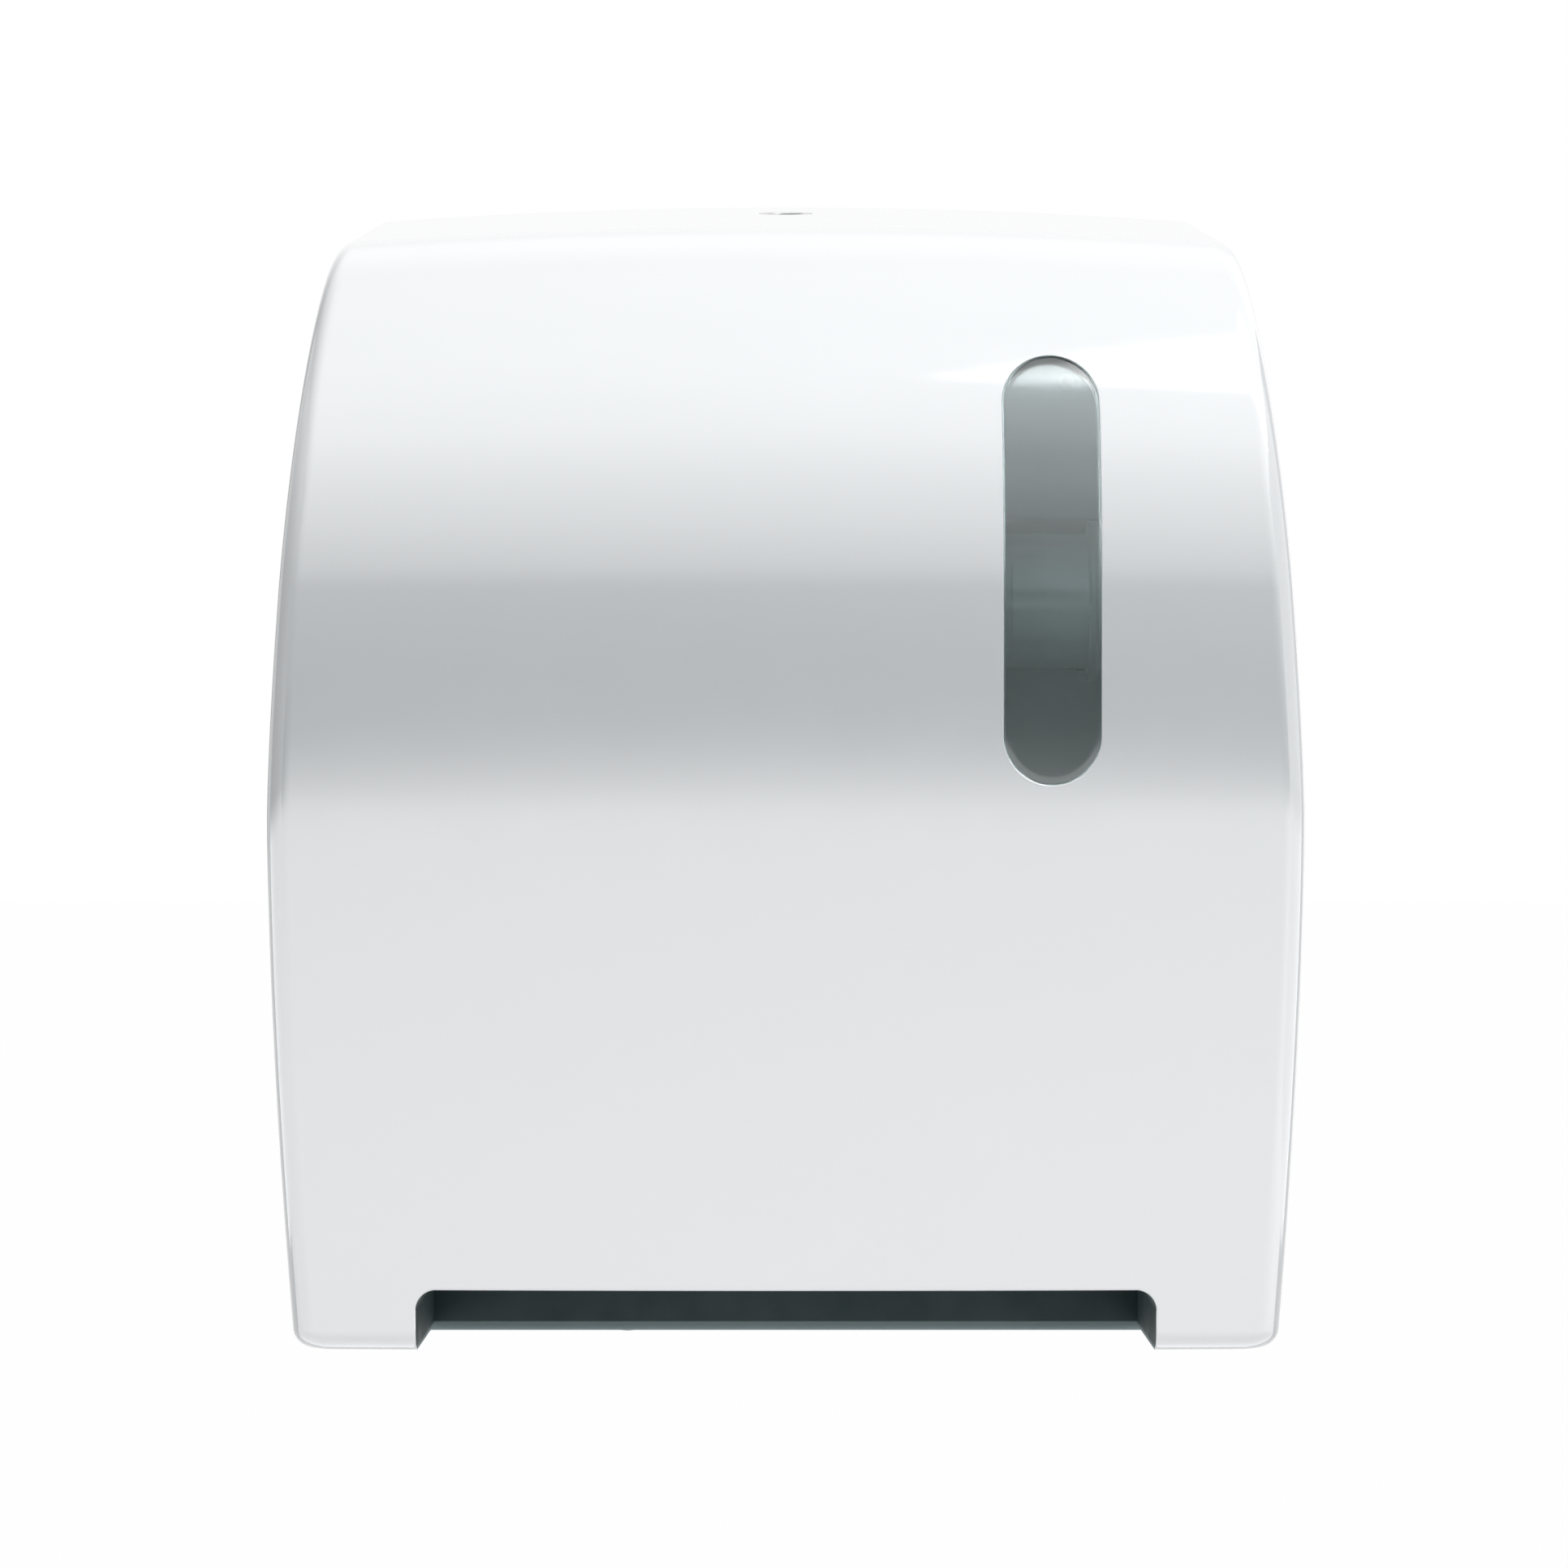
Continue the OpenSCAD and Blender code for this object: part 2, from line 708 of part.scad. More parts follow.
idler_pin_r = 2.5;
motor_shaft_r = 1.6;
motor_shaft_in = 9;
motor_hole_r = 4;
post_r = 3.5;
post_places = [idler_at + [0, 28], idler_at + [-33, 7], idler_at + [-6, -29]];
gear_screw_r = 1.5;

// Outline that both side plates share
module plate_outline() {
    difference() {
        polygon([
            [panel_t, plate_low], [guard_back, plate_low], [guard_back, plate_step_z],
            [plate_front, plate_step_z], [plate_front, plate_top - plate_chamfer],
            [plate_front - plate_chamfer, plate_top], [panel_t, plate_top]
        ]);
        translate(drive_at) circle(bush_r + seat_gap);
        translate([pivot_d, pivot_z]) circle(pivot_r + seat_gap);
    }
}

module left_side_plate() {
    color([0.3, 0.32, 0.33]) side_slab(-plate_out, -plate_x) plate_outline();
}

module right_side_plate() {
    color([0.3, 0.32, 0.33]) side_slab(plate_x, plate_out) difference() {
        plate_outline();
        translate(motor_at) circle(motor_hole_r);
        translate(idler_at) circle(idler_pin_r + seat_gap);
    }
}

// Floor of the works with the rear wall of the paper chute
chute_top = drive_z - 0.8 * drive_r;
base_half = floor_cut_x - 2;
module base_plate() {
    color([0.3, 0.32, 0.33]) union() {
        block(-base_half, base_half, panel_t, chute_d, base_z, plate_low);
        block(-plate_x, plate_x, chute_d - chute_t, chute_d, base_z, chute_top);
    }
}

// Dark trough in front of the paper gap; its front shows in the slot of the cover
guard_half = slot_w / 2 + guard_side;
guard_low = -guard_drop;
lens_r = lens_d / 2;
lens_d_at = (guard_back + guard_front) / 2;
lip_r = 1.2;
module exit_guard() {
    color([0.15, 0.2, 0.2]) difference() {
        side_slab(-guard_half, guard_half) difference() {
            round_rect(guard_back, guard_low, guard_front, guard_top, lip_r);
            translate([guard_back + guard_wall, guard_low + guard_wall])
                square([guard_t - 2 * guard_wall, guard_h]);
        }
        post(lens_r + seat_gap, -lens_x, lens_d_at, guard_low - cut, guard_low + guard_wall + cut);
    }
}

// Toothed strip behind the guard, on the side of the paper
tear_t = 1.2;
tear_h = 14;
tear_tooth = 2;
tear_half = plate_x - 1;
module tear_bar() {
    n = floor(2 * tear_half / tear_pitch);
    step = 2 * tear_half / n;
    low = guard_low + 0.5;
    color("silver") front_slab(guard_back - tear_t, guard_back) polygon([
        [tear_half, low + tear_h], [-tear_half, low + tear_h],
        for (i = [0:n - 1])
            each [[i * step - tear_half, low + tear_tooth], [(i + 0.5) * step - tear_half, low]],
        [tear_half, low + tear_tooth]
    ]);
}

sensor_board_l = 50;
sensor_board_z = guard_low + guard_wall + 5.5;
module sensor_board() {
    color("darkgreen") block(
        -lens_x - sensor_board_l / 2, -lens_x + sensor_board_l / 2, guard_back + guard_wall,
        guard_front - guard_wall, sensor_board_z, sensor_board_z + board_t
    );
}

lens_proud = 0.6;
module sensor_lens() {
    color([0.1, 0.05, 0.08]) post(lens_r, -lens_x, lens_d_at, guard_low - lens_proud, sensor_board_z);
}

// Fixed bar that the pinch springs push against
spring_bar_reach = 33;
spring_bar_d = path_d + spring_bar_reach;
spring_bar_t = 3;
spring_bar_half = 8;
module spring_bar() {
    color([0.3, 0.32, 0.33]) block(
        -plate_x, plate_x, spring_bar_d, spring_bar_d + spring_bar_t,
        drive_z - spring_bar_half, drive_z + spring_bar_half
    );
}

module pinch_pivot_pin() {
    color("silver") rod(pivot_r, -plate_out, plate_out, pivot_d, pivot_z);
}

// Pinch roller carriage: end cheeks, two saddles with spring tabs and a bar that joins them
cheek_room = 10;
cheek_x = plate_x - cheek_room;
cheek_t = 3;
saddle_x = 30;
saddle_w = 10;
cheek_wall = 3;
cheek_r = pinch_shaft_r + cheek_wall;
pivot_boss_r = pivot_r + 4;
saddle_tab = 8;
carriage_bar_back = 7;
carriage_bar_t = 3;
carriage_bar_h = 14;
carriage_bar_drop = 6;
carriage_bar_d = pivot_d - carriage_bar_back;
carriage_bar_high = pivot_z - carriage_bar_drop;
carriage_bar_low = carriage_bar_high - carriage_bar_h;
module pinch_carriage() {
    pivot = [pivot_d, pivot_z];
    nip = [pinch_d, drive_z];
    color([0.85, 0.85, 0.8]) difference() {
        union() {
            both_sides() {
                side_slab(cheek_x, cheek_x + cheek_t) link(pivot, nip, pivot_boss_r, cheek_r);
                side_slab(saddle_x - saddle_w / 2, saddle_x + saddle_w / 2) {
                    link(pivot, nip, pivot_boss_r, cheek_r);
                    translate([pinch_d, drive_z - cheek_r]) square([saddle_tab, 2 * cheek_r]);
                }
            }
            block(
                -cheek_x - cut, cheek_x + cut, carriage_bar_d, carriage_bar_d + carriage_bar_t,
                carriage_bar_low, carriage_bar_high
            );
        }
        rod(pinch_shaft_r + run_gap, -plate_x, plate_x, pinch_d, drive_z);
        rod(pivot_r + run_gap, -plate_x, plate_x, pivot_d, pivot_z);
    }
}

// Wire coil along +Z from height 0, as one unbroken tube
coil_rings = 8;
coil_sides = 6;
function coil_point(r, pitch, wire, t) = [r * cos(360 * t), r * sin(360 * t), wire / 2 + pitch * t];
module coil(r, wire, turns, length) {
    pitch = (length - wire) / turns;
    n = turns * coil_rings;
    rise = atan2(pitch, 2 * PI * r);
    points = [
        for (i = [0:n])
            let (a = 360 * i / coil_rings, c = coil_point(r, pitch, wire, i / coil_rings))
            for (k = [0:coil_sides - 1])
                let (b = 360 * k / coil_sides, out = wire / 2 * cos(b), up = wire / 2 * sin(b))
                c + [
                    out * cos(a) + up * sin(rise) * sin(a),
                    out * sin(a) - up * sin(rise) * cos(a),
                    up * cos(rise)
                ]
    ];
    faces = [
        for (i = [0:n - 1], k = [0:coil_sides - 1])
            let (j = (k + 1) % coil_sides, a = i * coil_sides, b = a + coil_sides)
            each quad(a + k, b + k, b + j, a + j),
        for (k = [1:coil_sides - 2]) [0, k, k + 1],
        for (k = [1:coil_sides - 2]) [n * coil_sides, n * coil_sides + k + 1, n * coil_sides + k]
    ];
    own_gap = min([
        for (i = [0:n - coil_rings])
            norm(coil_point(r, pitch, wire, i / coil_rings + 1) - coil_point(r, pitch, wire, i / coil_rings))
    ]) - wire;
    echo(least_gap_between_curls = own_gap);
    polyhedron(points = points, faces = faces);
}

module pinch_springs() {
    low = pinch_d + saddle_tab + flat_gap;
    high = spring_bar_d - flat_gap;
    color("silver") for (x = [-saddle_x, saddle_x])
        spot(x, low, drive_z) rotate([90, 0, 0])
            coil((spring_d - spring_wire_d) / 2, spring_wire_d, spring_turns, high - low);
}

pinch_shaft_proud = 2;
module pinch_shaft() {
    half = cheek_x + cheek_t + pinch_shaft_proud;
    color("silver") rod(pinch_shaft_r, -half, half, pinch_d, drive_z);
}

// Rollers and grips stand opposite each other at these places across the width
nip_pitch = 60;
nip_places = [-nip_pitch, 0, nip_pitch];
module pinch_rollers() {
    color([0.2, 0.2, 0.2]) for (x = nip_places)
        difference() {
            rod(pinch_r, x - pinch_roller_w / 2, x + pinch_roller_w / 2, pinch_d, drive_z);
            rod(pinch_shaft_r + seat_gap, x - pinch_roller_w, x + pinch_roller_w, pinch_d, drive_z);
        }
}

roller_end_gap = 4;
roller_half = plate_x - roller_end_gap;
module drive_shaft() {
    color("silver") rod(shaft_r, flat_gap - plate_out, gear_x3 + cut, drive_d, drive_z);
}

module drive_roller() {
    color([0.8, 0.8, 0.78]) difference() {
        rod(drive_r - grip_t, -roller_half, roller_half, drive_d, drive_z);
        rod(shaft_r + seat_gap, -plate_x, plate_x, drive_d, drive_z);
    }
}

module drive_grips() {
    color([0.15, 0.15, 0.15]) for (x = nip_places)
        difference() {
            rod(drive_r, x - grip_w / 2, x + grip_w / 2, drive_d, drive_z);
            rod(drive_r - grip_t + seat_gap, x - grip_w, x + grip_w, drive_d, drive_z);
        }
}

module drive_bushes() {
    color("goldenrod") both_sides() difference() {
        union() {
            rod(bush_r, plate_x - bush_flange_t, plate_out, drive_d, drive_z);
            rod(bush_flange_r, plate_x - bush_flange_t, plate_x, drive_d, drive_z);
        }
        rod(shaft_r + run_gap, plate_x - 2 * bush_flange_t, plate_out + cut, drive_d, drive_z);
    }
}

// Involute gear outline with one tooth pointing along +X
pressure_angle = 25;
gear_backlash = 0.12;
flank_steps = 4;
function involute(a) = tan(a) * 180 / PI - a;
module gear_outline(teeth) {
    pitch_r = gear_module * teeth / 2;
    base_r = pitch_r * cos(pressure_angle);
    tip_r = pitch_r + 0.95 * gear_module;
    root_r = pitch_r - 1.2 * gear_module;
    start_r = max(base_r, root_r);
    half = 90 / teeth - gear_backlash / pitch_r * 90 / PI + involute(pressure_angle);
    function flank(k) =
        let (r = start_r + (tip_r - start_r) * k / flank_steps)
        [r, half - involute(acos(base_r / r))];
    sides = [for (k = [0:flank_steps]) flank(k)];
    tooth = [
        [root_r, -sides[0][1]],
        for (s = sides) [s[0], -s[1]],
        for (k = [flank_steps:-1:0]) sides[k],
        [root_r, sides[0][1]]
    ];
    polygon([
        for (i = [0:teeth - 1], p = tooth)
            let (a = p[1] + 360 * i / teeth)
            p[0] * [cos(a), sin(a)]
    ]);
}

// Gear between two widths about a place, turned so that a tooth points at the angle
module gear(teeth, x0, x1, at, angle) {
    side_slab(x0, x1) translate(at) rotate(angle) gear_outline(teeth);
}

module drive_gear() {
    color([0.9, 0.9, 0.85]) difference() {
        gear(large_teeth, gear_x2, gear_x3, drive_at, idler_angle + 180 / large_teeth);
        rod(shaft_r + seat_gap, gear_x2 - cut, gear_x3 + cut, drive_d, drive_z);
    }
}

idler_collar_r = idler_pin_r + 2;
module idler_gear() {
    color([0.9, 0.9, 0.85]) difference() {
        union() {
            gear(large_teeth, gear_x0, gear_x1, idler_at, motor_angle + 180 / large_teeth);
            gear(small_teeth, gear_x1 - cut, gear_x3, idler_at, idler_angle + 180);
            rod(idler_collar_r, plate_out + flat_gap, gear_plate_x - flat_gap, idler_at[0], idler_at[1]);
        }
        rod(idler_pin_r + run_gap, plate_out, gear_plate_x, idler_at[0], idler_at[1]);
    }
}

module motor_pinion() {
    color("goldenrod") union() {
        gear(small_teeth, gear_x0, gear_x1, motor_at, motor_angle + 180);
        rod(motor_shaft_r, plate_x - motor_shaft_in, gear_x1 + cut, motor_at[0], motor_at[1]);
    }
}

module motor_can() {
    color("gray") difference() {
        rod(motor_d / 2, plate_x - motor_l, plate_x, motor_at[0], motor_at[1]);
        rod(motor_shaft_r + run_gap, plate_x - motor_shaft_in - cut, plate_x + cut, motor_at[0], motor_at[1]);
    }
}

module idler_pin() {
    color("silver") rod(idler_pin_r, plate_x, gear_plate_x + gear_plate_t, idler_at[0], idler_at[1]);
}

// Outer plate that carries the idler pin, on three posts
module gear_plate() {
    color("silver") side_slab(gear_plate_x, gear_plate_x + gear_plate_t) difference() {
        for (p = post_places)
            link(idler_at, p, gear_plate_hub_r, gear_plate_arm_r);
        translate(idler_at) circle(idler_pin_r + seat_gap);
        for (p = post_places)
            translate(p) circle(gear_screw_r + seat_gap);
    }
}

gear_screw_in = 8;
module gear_posts() {
    color("silver") for (p = post_places)
        difference() {
            rod(post_r, plate_out, gear_plate_x, p[0], p[1]);
            rod(gear_screw_r + seat_gap, gear_plate_x - gear_screw_in - cut, gear_plate_x + cut, p[0], p[1]);
        }
}

screw_head_r = 3;
screw_head_t = 1.8;
module chassis_screws() {
    head_x = gear_plate_x + gear_plate_t;
    color("gray") for (p = post_places) {
        rod(gear_screw_r, gear_plate_x - gear_screw_in, head_x + cut, p[0], p[1]);
        rod(screw_head_r, head_x, head_x + screw_head_t, p[0], p[1]);
    }
}

// Battery box on the outside of the left side plate
cell_play = 1;
cell_pitch = cell_d + 2;
box_x = plate_out + 2 * box_wall + cell_d + 2 * cell_play;
box_front = panel_t + box_wall + 2 * cell_pitch + 2;
box_low = hinge_z + hinge_boss_r + 7;
contact_t = 0.8;
contact_gap = 5;
cell_joint = 0.3;
box_high = box_low + 2 * box_wall + 2 * cell_l + cell_joint + 2 * contact_gap;
cell_x = -plate_out - box_wall - cell_play - cell_d / 2;
cell_low = box_low + box_wall + contact_gap;
cell_depths = [panel_t + box_wall + 2 + cell_d / 2, panel_t + box_wall + 2 + cell_d / 2 + cell_pitch];
knuckle_r = 3;
knuckle_l = 5;
knuckle_web = 3;
knuckle_root = 6;
door_pin_r = 1.5;
door_d = box_front + flat_gap;
door_pin_d = door_d + knuckle_r + 0.2;
door_low = box_low + knuckle_l + flat_gap;
door_high = box_high - knuckle_l - flat_gap;
module battery_box() {
    color([0.25, 0.27, 0.28]) difference() {
        union() {
            block(-box_x, -plate_out, panel_t, box_front, box_low, box_high);
            for (z = [box_low, box_high - knuckle_l]) {
                post(knuckle_r, -box_x, door_pin_d, z, z + knuckle_l);
                block(
                    -box_x - knuckle_web / 2, -box_x + knuckle_web / 2, box_front - knuckle_root, door_pin_d,
                    z, z + knuckle_l
                );
            }
        }
        block(
            -box_x + box_wall, -plate_out - box_wall, panel_t + box_wall, box_front + cut,
            box_low + box_wall, box_high - box_wall
        );
        post(door_pin_r + seat_gap, -box_x, door_pin_d, box_low - cut, box_high + cut);
    }
}

cell_nub_r = 4.5;
cell_nub_h = 1.5;
module battery_cells() {
    color("goldenrod") for (d = cell_depths, k = [0, 1])
        let (z = cell_low + k * (cell_l + cell_joint)) {
            post(cell_d / 2, cell_x, d, z, z + cell_l - cell_nub_h);
            post(cell_nub_r, cell_x, d, z, z + cell_l);
        }
}

contact_r = 6;
module battery_contacts() {
    inside_low = box_low + box_wall;
    inside_high = box_high - box_wall;
    first = cell_depths[0] - contact_r;
    last = cell_depths[1] + contact_r;
    color("silver") {
        block(cell_x - contact_r, cell_x + contact_r, first, last, inside_low, inside_low + contact_t);
        block(cell_x - contact_r, cell_x + contact_r, first, last, inside_high - contact_t, inside_high);
        for (d = cell_depths) {
            post(contact_r - 1, cell_x, d, inside_low, inside_low + contact_gap);
            post(contact_r - 1, cell_x, d, inside_high - contact_gap, inside_high);
        }
    }
}

module battery_door_pin() {
    color("silver") post(door_pin_r, -box_x, door_pin_d, box_low, box_high);
}

door_tab_w = 8;
door_tab_h = 16;
door_tab_proud = 3;
module battery_door() {
    free_x = -plate_out - 0.8;
    mid = (door_low + door_high) / 2;
    color([0.3, 0.32, 0.33]) difference() {
        union() {
            block(-box_x, free_x, door_d, door_d + door_t, door_low, door_high);
            post(knuckle_r, -box_x, door_pin_d, door_low, door_high);
            block(
                free_x - door_tab_w, free_x - 2, door_d, door_d + door_t + door_tab_proud,
                mid - door_tab_h / 2, mid + door_tab_h / 2
            );
        }
        post(door_pin_r + run_gap, -box_x, door_pin_d, door_low - cut, door_high + cut);
    }
}

// Control housing on the outside of the right side plate
control_w = 39;
control_x = plate_out + control_w;
control_front = plate_front;
control_depth = 34;
control_drop = 26;
control_rise = 60;
control_back = plate_front - control_depth;
control_low = drive_z - control_drop;
control_high = drive_z + control_rise;
knob_flange_t = 2;
button_rest = 0.6;
board_t = 1.6;
face_back = control_front - control_wall;
knob_back = face_back - flat_gap - knob_flange_t;
board_d = knob_back - button_travel - button_rest - board_t;
knob_x = (plate_out + control_x) / 2;
button_rise = 40;
led_rise = 20;
switch_drop = 2;
button_z = drive_z + button_rise;
led_z = drive_z + led_rise;
switch_z = drive_z - switch_drop;
button_r = button_d / 2;
switch_w = 6;
switch_h = 8;
slide_gap = 0.1;
flange_proud = 1.5;
button_proud = 3.5;
switch_proud = 2.5;
module control_housing() {
    color([0.85, 0.86, 0.87]) difference() {
        block(plate_out, control_x, control_back, control_front, control_low, control_high);
        block(
            plate_out + control_wall, control_x - control_wall, control_back - cut, face_back,
            control_low + control_wall, control_high - control_wall
        );
        peg(button_r + slide_gap, knob_x, face_back - cut, control_front + cut, button_z);
        peg(led_d / 2 + seat_gap, knob_x, face_back - cut, control_front + cut, led_z);
        block(
            knob_x - switch_w / 2 - slide_gap, knob_x + switch_w / 2 + slide_gap, face_back - cut,
            control_front + cut, switch_z - switch_h / 2 - switch_travel - flat_gap,
            switch_z + switch_h / 2 + switch_travel + flat_gap
        );
    }
}

module control_board() {
    color("darkgreen") block(
        plate_out + control_wall, control_x - control_wall, board_d, board_d + board_t,
        control_low + control_wall, control_high - control_wall
    );
}

module status_led() {
    color("limegreen") peg(led_d / 2, knob_x, board_d + board_t, control_front + 0.8, led_z);
}

module feed_button() {
    color([0.2, 0.45, 0.7]) union() {
        peg(button_r, knob_x, knob_back, control_front + button_proud, button_z);
        peg(button_r + flange_proud, knob_x, knob_back, face_back - flat_gap, button_z);
    }
}

module mode_switch() {
    flange_h = switch_h + 2 * switch_travel + 4;
    color([0.1, 0.1, 0.1]) union() {
        block(
            knob_x - switch_w / 2, knob_x + switch_w / 2, knob_back, control_front + switch_proud,
            switch_z - switch_h / 2, switch_z + switch_h / 2
        );
        block(
            knob_x - switch_w / 2 - 2, knob_x + switch_w / 2 + 2, knob_back, face_back - flat_gap,
            switch_z - flange_h / 2, switch_z + flange_h / 2
        );
    }
}

// Roll arms: each swings on its pin and carries a hub on an axle
arm_barrel_r = arm_pin_r + 2.5;
arm_end_r = 20;
arm_barrel_low = arm_lug_low + arm_lug_h + flat_gap;
arm_spring_low = roll_z + 4;
arm_spring_high = arm_lug_high - flat_gap;
arm_spring_wire = 0.9;
arm_spring_r = arm_pin_r + 1.2;
arm_spring_turns = 4;
module roll_arm() {
    difference() {
        union() {
            side_slab(arm_x, arm_x + arm_t) {
                translate([arm_pin_depth, roll_z - arm_half]) square([roll_d - arm_pin_depth, 2 * arm_half]);
                translate([roll_d, roll_z]) circle(arm_end_r);
            }
            post(arm_barrel_r, arm_mid, arm_pin_depth, arm_barrel_low, arm_spring_low - flat_gap);
        }
        post(arm_pin_r + run_gap, arm_mid, arm_pin_depth, arm_barrel_low - cut, arm_lug_high);
        block(
            arm_x - cut, arm_x + arm_t + cut, 0, arm_pin_depth + arm_barrel_r + 1.5,
            arm_spring_low - flat_gap, arm_lug_high
        );
    }
}

module arm_spring() {
    spot(arm_mid, arm_pin_depth, arm_spring_low)
        coil(arm_spring_r, arm_spring_wire, arm_spring_turns, arm_spring_high - arm_spring_low);
}

hub_gap = 0.5;
hub_x1 = arm_x - hub_gap;
hub_x0 = hub_x1 - hub_flange_t - hub_plug_l;
hub_taper = 4;
axle_r = hub_axle_d / 2;
axle_cap_r = axle_r + 4;
axle_cap_t = 2.2;
module hub() {
    plug_r = hub_plug_d / 2;
    bore = axle_r + run_gap;
    end = hub_flange_t + hub_plug_l;
    spot(hub_x1, roll_d, roll_z) rotate([0, -90, 0]) rotate_extrude() polygon([
        [bore, 0], [hub_flange_d / 2, 0], [hub_flange_d / 2, hub_flange_t], [plug_r, hub_flange_t],
        [plug_r, end - hub_taper], [plug_r - hub_taper, end], [bore, end]
    ]);
}

module hub_axle() {
    rod(axle_r, hub_x0 - flat_gap - cut, arm_x, roll_d, roll_z);
    rod(axle_cap_r, hub_x0 - flat_gap - axle_cap_t, hub_x0 - flat_gap, roll_d, roll_z);
}

module right_arm() {
    color([0.2, 0.22, 0.23]) roll_arm();
}

module left_arm() {
    color([0.2, 0.22, 0.23]) mirror([1, 0, 0]) roll_arm();
}

module right_hub() {
    color([0.25, 0.28, 0.29]) hub();
}

module left_hub() {
    color([0.25, 0.28, 0.29]) mirror([1, 0, 0]) hub();
}

module right_hub_axle() {
    color("silver") hub_axle();
}

module left_hub_axle() {
    color("silver") mirror([1, 0, 0]) hub_axle();
}

module right_arm_spring() {
    color("silver") arm_spring();
}

module left_arm_spring() {
    color("silver") mirror([1, 0, 0]) arm_spring();
}

back_panel();
hinge_pins();
arm_pins();
lock_strike();
left_side_plate();
right_side_plate();
base_plate();
exit_guard();
tear_bar();
sensor_board();
sensor_lens();
spring_bar();
pinch_pivot_pin();
motor_can();
drive_bushes();
gear_plate();
gear_posts();
idler_pin();
battery_box();
battery_cells();
battery_contacts();
battery_door_pin();
control_housing();
control_board();
status_led();
chassis_screws();
front_cover();
level_window();
lock_housing();
lock_barrel();
lock_cam();
drive_shaft();
drive_roller();
drive_grips();
drive_gear();
idler_gear();
motor_pinion();
pinch_carriage();
pinch_springs();
pinch_shaft();
pinch_rollers();
left_arm();
right_arm();
left_hub_axle();
right_hub_axle();
left_hub();
right_hub();
left_arm_spring();
right_arm_spring();
feed_button();
battery_door();
mode_switch();
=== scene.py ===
"""Looks for a wall-hung paper towel dispenser with a hand sensor.

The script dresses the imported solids: it rebuilds the moulded cover, the smoke window, the guard
under the rollers, the springs and the turned pieces as smooth meshes, softens the edges of the
other pieces, gives each of them its finish and sets the stage.
"""

import json
import math

import bmesh
import bpy
import numpy as np
from bpy.props import FloatProperty, FloatVectorProperty, PointerProperty
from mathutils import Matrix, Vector
from mathutils.bvhtree import BVHTree
from mathutils.interpolate import poly_3d_calc

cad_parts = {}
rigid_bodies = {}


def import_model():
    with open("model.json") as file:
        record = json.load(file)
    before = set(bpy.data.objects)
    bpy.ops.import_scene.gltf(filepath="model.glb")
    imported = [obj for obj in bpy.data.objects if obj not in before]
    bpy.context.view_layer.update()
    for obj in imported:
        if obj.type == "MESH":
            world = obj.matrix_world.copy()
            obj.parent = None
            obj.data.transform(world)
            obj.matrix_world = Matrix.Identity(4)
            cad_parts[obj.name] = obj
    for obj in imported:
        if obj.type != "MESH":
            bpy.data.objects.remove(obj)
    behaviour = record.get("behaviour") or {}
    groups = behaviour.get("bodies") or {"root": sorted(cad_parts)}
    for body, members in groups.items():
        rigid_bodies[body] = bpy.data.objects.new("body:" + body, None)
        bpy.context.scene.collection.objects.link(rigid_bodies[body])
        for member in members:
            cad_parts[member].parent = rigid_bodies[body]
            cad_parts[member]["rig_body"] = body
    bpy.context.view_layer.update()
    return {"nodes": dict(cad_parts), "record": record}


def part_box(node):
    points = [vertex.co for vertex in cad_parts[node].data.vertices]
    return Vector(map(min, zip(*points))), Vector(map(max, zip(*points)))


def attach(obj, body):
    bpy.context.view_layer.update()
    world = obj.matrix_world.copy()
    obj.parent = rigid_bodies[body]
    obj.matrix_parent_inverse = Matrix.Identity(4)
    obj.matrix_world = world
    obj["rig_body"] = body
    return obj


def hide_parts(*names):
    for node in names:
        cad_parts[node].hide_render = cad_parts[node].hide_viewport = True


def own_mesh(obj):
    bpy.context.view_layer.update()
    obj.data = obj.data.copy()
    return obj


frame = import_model()

bl_info = {
    "name": "Paper Towel Dispenser",
    "version": (1, 0, 0),
    "blender": (4, 5, 0),
    "location": "View3D > Sidebar > Dispenser",
    "description": "Dresses the solids of a wall-hung paper towel dispenser and sets its stage",
    "category": "Object",
}

MM = 0.001
# Height of the middle of the wall screws above the foot, in millimetres
SCREW_HEIGHT = 250.0
# A face belongs to a skin if it lies within so many millimetres of it and faces the same way
TOUCH = 0.05
SAME_WAY = 0.9
# The walls of the slot that get painted shade: how far past its end they count, in millimetres, and how
# little they face the front
SHADED_SLOT_END = 0.5
SHADED_SLOT_WALL = 0.4
# The share of a side that the rounding of a corner may take
CORNER_SHARE = 0.48
TAPER_POWERS = (1.4, 1.65)
SHOULDER_END = math.radians(82)
SHOULDER_SHARE = 10 / 13
SIDE_END = 8.0
FINE = {"foot": 8, "front": 30, "shoulder": 54, "top": 9, "strip": 8, "edge": 10, "across": 48}

# Places in millimetres: depths from the wall and heights from the foot, or widths and depths
HINGE = (15.0, 14.0)
HINGE_BOSS = 144.0
HEEL = 13.5
LOCK_DEPTH = 45.0
LENS = (-53.0, 109.5)
ROLL = (112.0, 242.0)
ARM_PIN = 11.0
DRIVE = (78.0, 60.0)
PINCH = (109.3, 60.0)
NIPS = (-60.0, 0.0, 60.0)
PINCH_SPRINGS = (-30.0, 30.0)

